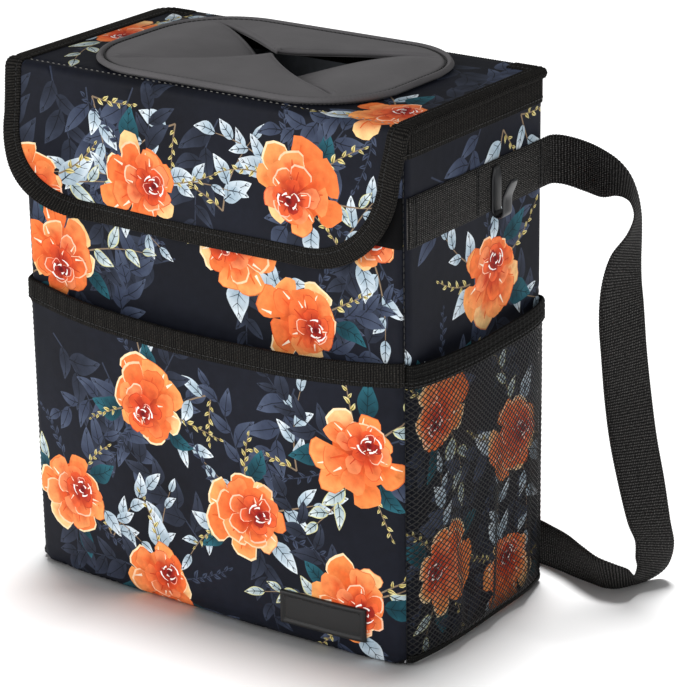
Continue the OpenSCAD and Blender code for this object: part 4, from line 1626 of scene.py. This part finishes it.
@dataclass
class SlitInsert:
    """The foam sheet over the lid's hole, cut by an X-shaped slit into four petals."""

    sizes: Sizes
    tools: Tools
    radius: float = 45 * MM
    reach_x: float = 66 * MM
    reach_y: float = 42 * MM
    slit: float = 1.6 * MM
    sag: float = 15 * MM
    tip_rise: float = 3 * MM
    thick: float = 3 * MM
    bead: float = 0.9 * MM
    bow: float = 3.2 * MM
    pitch: float = 2.6 * MM

    def __post_init__(self) -> None:
        """Read the insert's box."""
        low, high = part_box("slit_insert")
        self.mid = ((low[0] + high[0]) / 2, (low[1] + high[1]) / 2)
        self.half = ((high[0] - low[0]) / 2, (high[1] - low[1]) / 2)
        self.base = self.sizes.lid_top

    def rim_gap(self, x: float, y: float) -> float:
        """Return the distance inside the outline of a place about the middle."""
        qx, qy = abs(x) - self.half[0] + self.radius, abs(y) - self.half[1] + self.radius
        return self.radius - math.hypot(max(qx, 0), max(qy, 0)) - min(max(qx, qy), 0)

    def arms(self) -> list[Vector]:
        """Return the outer ends of the four slits, about the middle."""
        return [Vector((sx * self.reach_x, sy * self.reach_y)) for sx in (1, -1) for sy in (1, -1)]

    def slit_gap(self, x: float, y: float) -> float:
        """Return the distance from the nearest slit of a place about the middle."""
        best = 1.0
        for end in self.arms():
            t = min(max((x * end.x + y * end.y) / end.length_squared, 0), 1)
            best = min(best, math.hypot(x - t * end.x, y - t * end.y))
        return best

    def bowed(self, x: float, y: float) -> Point:
        """Bow the slits so that the side petals are rounder, as limp foam hangs."""
        end = Vector((math.copysign(self.reach_x, x), math.copysign(self.reach_y, y)))
        along = min(max((x * end.x + y * end.y) / end.length_squared, 0.0), 1.0)
        side = Vector((-end.y, end.x)).normalized()
        away = x * side.x + y * side.y
        way = 1 if end.x * end.y > 0 else -1
        push = way * self.bow * math.sin(math.pi * along) * math.exp(-(away / (10 * MM)) ** 2)
        return x + side.x * push, y + side.y * push

    def height(self, x: float, y: float) -> float:
        """Return the top face over the lid of a place about the middle."""
        steep = self.reach_y / self.reach_x
        sideways = abs(x) * steep > abs(y)
        free = smooth(0, 16 * MM, self.reach_x - abs(x)) * smooth(0, 10 * MM, self.reach_y - abs(y))
        rise = 0.0
        if sideways and abs(x) < self.reach_x:
            along = 1 - abs(x) / self.reach_x
            rise = -self.sag * along ** 1.7
            width = abs(y) / max(abs(x) * steep, 1 * MM)
            rise -= 1.6 * MM * along * width ** 2
        elif not sideways and abs(y) < self.reach_y:
            along = 1 - abs(y) / self.reach_y
            width = x / max(abs(y) / steep, 1 * MM)
            lift = 1.0 if y > 0 else 0.55
            rise = self.tip_rise * lift * along ** 1.4 * free
            rise -= (2.2 * MM if y > 0 else 1.4 * MM) * along * (width ** 2) * free
        edge = self.rim_gap(x, y)
        ring = self.bead * math.exp(-((edge - 1.9 * MM) / (1.3 * MM)) ** 2)
        ring -= 1.3 * MM * math.exp(-((edge - 4.3 * MM) / (0.7 * MM)) ** 2)
        ring -= 1.4 * MM * (1 - smooth(0.0, 1.3 * MM, edge))
        crown = 1.0 * MM * smooth(4 * MM, 24 * MM, edge)
        hem = self.slit_gap(x, y)
        line = 0.35 * MM * math.exp(-((hem - 3.0 * MM) / (0.5 * MM)) ** 2)
        line += 0.7 * MM * (1 - smooth(self.slit / 2, 1.9 * MM, hem))
        return self.thick + rise + ring + crown - line

    def build(self) -> None:
        """Cut the sheet along its slits and lay it over the hole."""
        rings = [oriented(rounded_ring(*self.half, self.radius, 0.0, 2.0 * MM))]
        loose = [p for inset in (0.6, 1.2, 1.9, 2.6, 3.3, 3.9, 4.3, 4.8, 5.5, 6.5)
                 for p in rounded_ring(*self.half, self.radius, inset * MM, 2.0 * MM)]
        for end in self.arms():
            side = Vector((-end.y, end.x)).normalized()
            half = [(end * t, side * self.slit / 2 * (1 - t ** 6)) for t in spread(0, 1, 36)[:-1]]
            rings.append(oriented([*(a + b for a, b in half), end,
                                   *(a - b for a, b in reversed(half))]))
            loose += [end * t + side * off * turn * MM for off in (1.4, 2.0, 2.6, 3.0, 3.5, 4.3)
                      for t in spread(0, 1, 46)[1:] for turn in (1, -1)]
        for i in range(-40, 41):
            for j in range(-28, 29):
                x, y = (i + 0.5 * (j % 2)) * self.pitch, j * self.pitch
                if self.rim_gap(x, y) > 7.6 * MM and self.slit_gap(x, y) > 5.4 * MM:
                    loose.append((x, y))
        places, cells, _, owners = mesh_plane(
            [[(x / MM, y / MM) for x, y in ring] for ring in rings],
            [(x / MM, y / MM) for x, y in loose])
        used, kept = compact([c for c, owner in zip(cells, owners) if list(owner) == [0]])
        lifted = []
        for x, y in ((places[i][0] * MM, places[i][1] * MM) for i in used):
            u, v = self.bowed(x, y)
            lifted.append(Vector((u + self.mid[0], v + self.mid[1],
                                  self.base + self.height(x, y))))
        made = new_object("foam_slit_sheet", lifted, kept, FOAM)
        wall = made.modifiers.new("foam", "SOLIDIFY")
        wall.thickness = self.thick - 0.2 * MM
        wall.offset = -1
        bake(made)
        settle(made, Body.LID, "grey_foam", "slit_insert")
        row = [Vector((x + self.mid[0], y + self.mid[1], self.base + self.height(x, y) + 1.1 * MM))
               for x, y in rounded_ring(*self.half, self.radius, 4.3 * MM, 2 * MM)]
        self.tools.sew("insert_stitches", [[*row, row[0]]], Body.LID, "grey_foam", 2.8 * MM,
                       thread=0.9 * MM, share=0.94)


@dataclass
class SewnPocket:
    """A pocket sewn to a wall from seam to seam, which stands off it and closes at its toe."""

    sizes: Sizes
    tools: Tools

    BULGE: ClassVar[float] = 9 * MM
    TOE: ClassVar[float] = 16 * MM
    CROWN: ClassVar[int] = 3

    def __post_init__(self) -> None:
        """Find the wall that the pocket is sewn to."""
        self.wall = Wall(self.sizes, self.turn())
        self.half = self.wall.reach - 0.3 * MM

    def turn(self) -> int:
        """Return the wall's number, anticlockwise from the front."""
        return 0

    def off(self, run: float, high: float) -> float:
        """Return how far the pocket's back stands off the wall."""
        share = 1 - min(abs(run) / self.half, 1.0) ** self.CROWN
        low = 1 - max(high, 0) / self.TOE
        close = 1.0 if high >= self.TOE else math.sqrt(max(1 - low ** 2, 0))
        return self.BULGE * share * close


@dataclass
class FrontPocket(SewnPocket):
    """The printed pocket on the front, with its bound mouth and the bare patch."""

    droop: float = 6 * MM
    cloth: float = 1.2 * MM

    def mouth(self, x: float) -> float:
        """Return the height of the mouth's edge."""
        return self.sizes.pocket_high - self.droop * (1 - (x / self.half) ** 2)

    def place(self, x: float, z: float, lift: float = 0.0) -> Vector:
        """Return a place over the pocket's printed face."""
        fade = smooth(0, 0.02, self.half - abs(x)) * smooth(0, 0.02, z)
        wave = noise.noise(Vector((x / 0.06, z / 0.075, 4.0))) * 1.3 * MM * fade
        return self.wall.place(x, z, self.off(x, z) + self.cloth + wave + lift)

    def build(self) -> None:
        """Build the pocket, its binding and its patch."""
        s = self.sizes
        half, tuck = self.half, 5 * MM
        top = [(x, self.mouth(x) - tuck) for x in spread(half, -half, 60)]
        ring = [(x / MM, z / MM) for x, z in [(-half, s.pocket_low), (half, s.pocket_low), *top]]
        rows = tuple(self.TOE / MM * (1 - math.cos(math.pi / 2 * k / 7)) for k in range(1, 7))
        turn = self.wall.flat / MM
        panel = PrintedPanel(filled_out(ring, 4.0), POCKET_LAYOUT, rows=rows, columns=tuple(
            side * (turn + step) for side in (1, -1) for step in (0.0, 1.2, 2.4, 3.3)))
        made = panel.make("front_pocket_cloth", self.place, self.cloth, LINING)
        settle(made, Body.BIN, "printed_fabric", "front_pocket")
        self.binding()
        self.patch()

    def binding(self) -> None:
        """Fold the binding over the pocket's mouth."""
        s, pitch = self.sizes, 1.25 * MM
        t, high, back = s.tape, s.pocket_bind, -self.cloth
        steps = [1.0, 0.86, 0.8, 0.74, 0.55, 0.35, 0.15, 0.05]
        outer = [(t * (0.5 if k in (0, 2) else 1.0), -high * z) for k, z in enumerate(steps)]
        outer += [(0.6 * t, 0.0), (0.5 * back, 0.15 * MM), (back - 0.5 * t, 0.0),
                  (back - t, -0.1 * high), (back - t, -0.5 * high), (back - t, -high)]
        inner = [(0.02 * MM, -high), (0.02 * MM, -0.5 * high), (0.0, -1.5 * t),
                 (back, -1.5 * t), (back, -0.5 * high), (back, -high)]
        rings, row = [], []
        for i, x in enumerate(spaced(-self.half, self.half, pitch / 4)):
            room = min(self.off(x, self.TOE) / t, 1.0)
            lip = self.mouth(x)

            def at(lift: float, z: float) -> Vector:
                if lift < back:
                    lift = back + (lift - back) * room
                return self.place(x, lip + z, lift)

            rings.append(strip_ring([at(*p) for p in outer], [at(*p) for p in inner]))
            if i % 5 == 0:
                row.append(at(0.75 * t, -0.8 * high))
        share = [1.0] * len(outer) + [0.0] * len(inner)
        self.tools.lay(Tape("pocket_mouth_binding", rings, GROSGRAIN, False, share), Body.BIN,
                       "black_tape", "front_pocket_binding", pitch, 0.11 * MM)
        self.tools.sew("pocket_binding_stitches", [row], Body.BIN, "black_tape")

    def patch(self) -> None:
        """Mould the bare patch with its raised frame."""
        low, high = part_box("label_patch")
        deep, frame, edge = 1.4 * MM, 0.7 * MM, 2 * MM
        rings = []
        for x in spread(low[0], high[0], 71):
            outer, inner = [], []
            for z in spread(low[2], high[2], 27):
                gap = min(x - low[0], high[0] - x, z - low[2], high[2] - z)
                lift = deep + frame * (1 - smooth(edge - 0.3 * MM, edge + 0.5 * MM, gap))
                lift -= 0.5 * MM * (1 - smooth(0, 0.6 * MM, gap))
                outer.append(self.place(x, z, lift))
                inner.append(self.place(x, z, 0.02 * MM))
            rings.append(strip_ring(outer, inner))
        self.tools.lay(Tape("plain_patch", rings, RUBBER), Body.BIN, "patch_rubber", "label_patch")
        inset = 2.9 * MM
        box = [(low[0] + inset, low[2] + inset), (high[0] - inset, low[2] + inset),
               (high[0] - inset, high[2] - inset), (low[0] + inset, high[2] - inset)]
        row = [self.place(x, z, deep) for x, z in filled_out(box, 1.5 * MM)]
        self.tools.sew("patch_stitches", [[*row, row[0]]], Body.BIN, "patch_rubber", 2.2 * MM,
                       thread=0.4 * MM)


@dataclass
class NetPocket(SewnPocket):
    """The net pocket on one side, with the elastic round its mouth."""

    side: Side = Side.RIGHT
    cell_w: float = 3.5 * MM
    cell_h: float = 3.1 * MM
    cord: float = 0.3 * MM

    BULGE: ClassVar[float] = 8 * MM
    CROWN: ClassVar[int] = 4
    PLEATS: ClassVar = ((-0.027, 0.62, 6 * MM, 0.1), (-0.002, 0.72, 6.5 * MM, -0.08),
                        (0.033, 0.6, 6 * MM, -0.05))

    def turn(self) -> int:
        """Return the side wall's number."""
        return 2 - self.side.value

    def place(self, y: float, z: float, lift: float = 0.0) -> Vector:
        """Return a place over the net's inner face, at a distance from the side's middle."""
        fade = smooth(0, 0.015, self.half - abs(y)) * smooth(0, 0.03, z)
        wave = noise.noise(Vector((y / 0.03, z / 0.05, 6.0 + self.side.value))) * 1.2 * MM * fade
        depth = (1 - smooth(0.03, 0.13, z)) * smooth(0.004, 0.02, z)
        pleat = 0.0
        for spot, pinch, wide, lean in self.PLEATS:
            away = y - spot + lean * z
            near = depth * math.exp(-(away / wide) ** 2)
            pleat += 2 * MM * near
            y -= pinch * away * near
        return self.wall.place(self.side.value * y, z, self.off(y, z) + wave + pleat + lift)

    def strands(self) -> tuple[list[Vector], list[tuple[int, int]]]:
        """Lay both families of slanting strands.

        Returns:
            Places and edges of the wire.
        """
        s = self.sizes
        half, low, high = self.half, 1.2 * MM, s.elastic_low + 2 * MM
        slope = self.cell_h / self.cell_w
        verts: list[Vector] = []
        edges: list[tuple[int, int]] = []
        for way in (1, -1):
            start = low - 2 * half * slope
            for k in range(int((high - start) / self.cell_h) + 1):
                held = False
                foot = start + k * self.cell_h
                steps = int(2 * half / self.cell_w)
                for i in range(steps + 1):
                    y = -half + 2 * half * i / steps
                    z = foot + (y + half) * slope
                    inside = low <= z <= high
                    if inside:
                        shift = 0.25 * MM * noise.noise(Vector((y / 0.004, z / 0.004, 2.0)))
                        verts.append(self.place(way * y, z + shift, 0.5 * MM + way * 0.12 * MM))
                        if held:
                            edges.append((len(verts) - 2, len(verts) - 1))
                    held = inside
        return verts, edges

    def hem(self, side: str) -> None:
        """Fold a narrow hem along the net's foot."""
        levels = spread(self.sizes.base, self.sizes.base + 4.5 * MM, 5)
        lifts = [0.9 * MM, *[1.3 * MM] * 4, 0.9 * MM]
        rings = [strip_ring([self.place(y, z, lift) for z, lift in zip(levels, lifts)],
                            [self.place(y, z, 0.1 * MM) for z in levels])
                 for y in spaced(-self.half, self.half, 1.5 * MM)]
        self.tools.lay(Tape(f"{side}_net_hem", rings, ELASTIC), Body.BIN, "black_net", "")

    def build(self) -> None:
        """Spin the net, and knit the elastic at its mouth."""
        s, side = self.sizes, self.side.name.lower()
        verts, edges = self.strands()
        net = new_object(f"{side}_diamond_net", verts, [], None, edges)
        self.tools.net.run(net, Radius=self.cord, Material=NET_CORD.material())
        net.data.shade_smooth()
        settle(net, Body.BIN, "black_net", f"{side}_net_pocket")
        self.hem(side)
        thick, count = 1.8 * MM, 24
        rings = []
        span = spaced(-self.half, self.half, 0.9 * MM)
        for y in span:
            pucker = 0.25 * MM * math.cos(TAU * y / (4.2 * MM))
            pucker *= min(self.off(y, self.TOE) / MM, 1.0)
            outer, inner = [], []
            for k, z in enumerate(spread(s.elastic_low, s.net_high, count)):
                edge = 1 - abs(2 * k / count - 1) ** 8
                ridge = -0.45 * MM if k % 6 == 0 else 0.1 * MM
                outer.append(self.place(y, z, 0.5 * thick + (0.5 * thick + pucker + ridge) * edge))
                inner.append(self.place(y, z, 0.4 * thick * (1 - edge)))
            rings.append(strip_ring(outer, inner))
        self.tools.lay(Tape(f"{side}_mouth_elastic", rings, ELASTIC), Body.BIN, "black_elastic",
                       f"{side}_elastic", 1.8 * MM)
        rows = [[self.place(y, s.elastic_low + up, thick + 0.25 * MM) for y in span]
                for up in (1.6 * MM, 3.4 * MM)]
        self.tools.sew(f"{side}_elastic_stitches", rows, Body.BIN, "black_elastic")


STRAP_HALF_W, STRAP_HALF_D, STRAP_TOP = 120, 63, 245
STRAP_STATIONS = (
    ((122, 66, 245.5), (122.5, 66, 220)), ((128, 70, 245), (129, 69, 219.5)),
    ((138, 72.5, 243), (140, 70, 217.5)), ((147, 74, 240), (154, 62, 219)),
    ((154, 77, 235), (165, 57, 223)), ((160, 79, 228), (171, 56, 223)),
    ((164, 80, 219), (174, 57, 220)), ((166, 81, 208), (175, 58, 213)),
    ((166, 82, 196), (171, 58, 203)), ((166, 82, 183), (162, 58, 190)),
    ((166, 83, 171), (156, 60, 173)), ((167, 84, 158), (153, 63, 153)),
    ((168, 86, 135), (153, 66, 131)), ((170, 88, 111), (153, 70, 107)),
    ((173, 90, 85), (156, 71, 84)), ((177, 92, 61), (161, 72, 61)),
    ((180, 94, 38), (167, 72, 41)), ((181, 97, 24), (170, 75, 30)),
    ((178, 99, 12), (170, 76, 20)), ((173, 99, 4), (171, 76, 15)),
    ((168, 92, 0.2), (173, 69, 13)), ((164, 82, 0.2), (172, 65, 18)),
    ((160, 75, 0.2), (166, 61, 21)), ((154, 72, 0.2), (156, 60, 23)),
    ((146, 73, 0.2), (144, 64, 25)), ((134, 75, 0.2), (132, 70, 26)),
    ((121, 78, 0.2), (120, 75, 26)), ((105, 80, 0.2), (105, 79, 26.5)),
    ((80, 81, 0.2), (80, 81, 26.5)), ((40, 80, 0.2), (40, 80, 26.5)),
    ((0, 79, 0.2), (0, 79, 26.5)),
)


@dataclass
class Carrying:
    """What the bin hangs by and what holds its bag: side webbing, strap and bag hooks."""

    sizes: Sizes
    tools: Tools
    pitch: float = WEBBING.rib
    hook_w: float = 8 * MM
    hook_t: float = 1.6 * MM
    hook_gap: float = 4.6 * MM
    hook_h: float = 26 * MM
    hook_arm: float = 9 * MM
    hook_flare: float = 10 * MM
    hook_tip: float = 8 * MM
    hook_drop: float = 3 * MM
    hook_y: float = 14 * MM

    def flat_ring(self, one: Vector, two: Vector, face: Vector, thick: float,
                  columns: int = 7) -> list[Vector]:
        """Return a webbing section between two edges, thinner at its selvedges."""
        outer, inner = [], []
        for t in spread(0, 1, columns - 1):
            half = thick / 2 * (1 - 0.6 * abs(2 * t - 1) ** 8)
            here = one.lerp(two, t)
            outer.append(here + face * half)
            inner.append(here - face * half)
        return strip_ring(outer, inner)

    def side_webbing(self, side: Side) -> None:
        """Sew the webbing across one side wall, with bar tacks."""
        s, way = self.sizes, side.value
        low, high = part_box("right_webbing")
        rings = []
        for y in spaced(low[1], high[1], self.pitch / 4):
            sway = 0.3 * MM * noise.noise(Vector((y / 0.03, way, 0)))
            thick = s.web_t * (0.15 + 0.85 * smooth(0, 2 * MM, min(y - low[1], high[1] - y)))
            x = way * (low[0] + thick / 2)
            rings.append(self.flat_ring(Vector((x, y, low[2] + sway)),
                                        Vector((x, y, high[2] + sway)),
                                        Vector((way, 0, 0)), thick))
        label = side.name.lower()
        self.tools.lay(Tape(f"{label}_side_webbing", rings, WEBBING), Body.BIN, "black_webbing",
                       f"{label}_webbing", self.pitch, 0.12 * MM)
        face, tall = way * (high[0] + 0.2 * MM), high[2] - low[2]
        rows = [[Vector((face, y, z))
                 for z in spread(low[2] + 0.06 * tall, low[2] + 0.94 * tall, 20)]
                for y in (low[1] + 4 * MM, low[1] + 6 * MM, -2 * MM, -0.6 * MM,
                          high[1] - 4 * MM, high[1] - 6 * MM)]
        self.tools.sew(f"{label}_bar_tacks", rows, Body.BIN, "black_webbing", 1.6 * MM,
                       thread=0.7 * MM, share=0.9)

    def rails(self) -> tuple[list[Vector], list[Vector]]:
        """Return the strap's two edges, from the right webbing round to the left one."""
        s = self.sizes
        scale = (s.half_w / MM / STRAP_HALF_W, s.web_high / MM / STRAP_TOP)
        shift = s.half_d / MM - STRAP_HALF_D

        def at(p: Sequence[float]) -> Vector:
            return Vector((p[0] * scale[0], p[1] + shift, p[2] * scale[1])) * MM

        start_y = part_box("right_webbing")[1][1] - 2 * MM
        start = [Vector((s.half_w + s.web_t / 2, start_y, z)) for z in (s.web_high, s.web_low)]
        half = [(start[0], start[1]), *((at(a), at(b)) for a, b in STRAP_STATIONS)]
        mirrored = [tuple(Vector((-p.x, p.y, p.z)) for p in pair) for pair in reversed(half[:-1])]
        pairs = [*half, *mirrored]
        return spline([p[0] for p in pairs], 24), spline([p[1] for p in pairs], 24)

    def strap(self) -> None:
        """Hang the strap along its stations."""
        one, two = self.rails()
        runs = run_lengths([(a + b) / 2 for a, b in zip(one, two)])
        count = int(runs[-1] / (self.pitch / 4))
        path = [(one[k].lerp(one[k + 1], t), two[k].lerp(two[k + 1], t))
                for k, t in even_steps(runs, count, count + 1)]
        rings = []
        for i, (a, b) in enumerate(path):
            ahead, behind = beside(path, i, 3)
            along = (ahead[0] + ahead[1]) - (behind[0] + behind[1])
            rings.append(self.flat_ring(a, b, along.cross(b - a).normalized(), self.sizes.web_t))
        made = self.tools.lay(Tape("hanging_strap_web", rings, WEBBING), Body.BIN,
                              "black_webbing", "strap", self.pitch, 0.12 * MM)

    def hook(self, side: Side) -> None:
        """Mould one bag hook as a strip bent into a J."""
        way, t = side.value, self.hook_t
        bend = self.hook_gap / 2 + t
        mid = bend - t / 2
        path = [(t / 2, z) for z in spread(self.hook_h, bend, 12)]
        path += [(bend - mid * math.cos(a), bend - mid * math.sin(a))
                 for a in spread(0, math.pi, 14)[1:]]
        arm = t + self.hook_gap + t / 2
        path += [(arm, z) for z in spread(bend, self.hook_arm, 4)[1:]]
        out, tilt = self.hook_flare + t / 2, math.radians(24)
        path += [(arm + out * (1 - math.cos(a)), self.hook_arm + out * math.sin(a))
                 for a in spread(0, tilt, 6)[1:]]
        d, z = path[-1]
        path += [(d + far * math.sin(tilt), z + far * math.cos(tilt))
                 for far in spread(0, self.hook_tip, 6)[1:]]
        foot = Vector((self.sizes.half_w + self.sizes.web_t, self.hook_y,
                       self.sizes.web_low - self.hook_drop))
        last = len(path) - 1
        rings = []
        for i, (d, z) in enumerate(path):
            ahead, behind = beside(path, i)
            along = Vector((ahead[0] - behind[0], 0, ahead[1] - behind[1])).normalized()
            out_way = Vector((-along.z, 0, along.x))
            taper = 1 - 0.35 * (1 - smooth(0, 3, min(i, last - i)))
            half_w, half_t = self.hook_w / 2 * taper, t / 2 * (0.7 + 0.3 * taper)
            ring = []
            for a in spread(0, TAU, 16)[:-1]:
                c, n = math.cos(a), math.sin(a)
                side_way = half_w * math.copysign(abs(c) ** 0.3, c)
                up_way = half_t * math.copysign(abs(n) ** 0.5, n)
                p = foot + Vector((d, side_way, z)) + out_way * up_way
                ring.append(Vector((way * p.x, p.y, p.z)))
            rings.append(ring)
        label = side.name.lower()
        self.tools.lay(Tape(f"{label}_moulded_hook", rings, HOOK), Body.BIN, "hook_plastic",
                       f"{label}_bag_hook")

    def build(self) -> None:
        """Build both sides and the strap."""
        self.strap()
        for side in Side:
            self.side_webbing(side)
            self.hook(side)


@dataclass
class Studio:
    """Camera, floor and soft lights."""

    eye: tuple[float, float, float] = (0.85622, -1.13974, 0.65664)
    right: tuple[float, float, float] = (0.81478, 0.57956, -0.01536)
    up: tuple[float, float, float] = (-0.18965, 0.29148, 0.93759)
    ahead: tuple[float, float, float] = (-0.54787, 0.76102, -0.34741)
    lens: float = 152.16

    def camera(self) -> None:
        """Stand the camera where the photo was taken from."""
        data = bpy.data.cameras.new("view")
        data.lens = self.lens
        data.sensor_width = 36.0
        data.clip_start, data.clip_end = 0.05, 20.0
        made = bpy.data.objects.new("view", data)
        bpy.context.scene.collection.objects.link(made)
        axes = Matrix((self.right, self.up, tuple(-c for c in self.ahead))).transposed()
        made.matrix_world = Matrix.Translation(self.eye) @ axes.to_4x4()
        bpy.context.scene.camera = made

    def light(self, name: str, at: Sequence[float], aim: Sequence[float], spread: float,
              power: float) -> bpy.types.Object:
        """Hang one soft light far off, as wide in radians as its spread, and return it."""
        data = bpy.data.lights.new(name, "SUN")
        data.angle, data.energy = spread, power
        made = bpy.data.objects.new(name, data)
        bpy.context.scene.collection.objects.link(made)
        made.location = at
        made.rotation_euler = (Vector(aim) - Vector(at)).to_track_quat("-Z", "Y").to_euler()
        return made

    def build(self) -> None:
        """Set the whole studio."""
        self.camera()
        half = 6.0
        floor = new_object("floor", [Vector((x * half, y * half, 0)) for x, y in
                                     ((-1, -1), (1, -1), (1, 1), (-1, 1))], [(0, 1, 2, 3)])
        white = bpy.data.materials.new("white_floor")
        white.use_nodes = True
        shader = white.node_tree.nodes["Principled BSDF"]
        shader.inputs["Base Color"].default_value = rgba("fbfbfb")
        shader.inputs["Roughness"].default_value = 0.9
        floor.data.materials.append(white)
        aim = (0.0, 0.0, 0.14)
        key = self.light("key_light", (-1.2, -1.9, 1.1), aim, 0.7, 1.8)
        fill = self.light("fill_light", (2.2, -0.7, 1.0), aim, 1.0, 0.8)
        wash = self.light("floor_wash", (-0.2, 0.36, 2.4), (0.0, 0.0, 0.0), 0.3, 3.4)
        for name, state, lamps in (("washed_floor", "INCLUDE", (wash,)),
                                   ("all_but_floor", "EXCLUDE", (key, fill))):
            only = bpy.data.collections.new(name)
            only.objects.link(floor)
            only.collection_objects[0].light_linking.link_state = state
            for lamp in lamps:
                lamp.light_linking.receiver_collection = only
        world = bpy.context.scene.world or bpy.data.worlds.new("studio_air")
        bpy.context.scene.world = world
        world.use_nodes = True
        tree = world.node_tree
        air = tree.nodes.get("Background") or add_node(tree, "ShaderNodeBackground")
        air.inputs["Color"].default_value = (1.0, 1.0, 1.0, 1.0)
        air.inputs["Strength"].default_value = 0.32
        bpy.context.scene.view_settings.view_transform = "Standard"


def main() -> None:
    """Build the bin in order and report each piece."""
    logging.basicConfig(level=logging.INFO, format="%(message)s")
    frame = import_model()
    Studio().build()
    sizes, tools = Sizes.read(), Tools()
    Carrying(sizes, tools).build()
    BodyShell(sizes, tools).build(frame["nodes"])
    FrontPocket(sizes, tools).build()
    for side in Side:
        NetPocket(sizes, tools, side).build()
    Lid(sizes, tools).build()
    SlitInsert(sizes, tools).build()


if __name__ == "__main__":
    main()
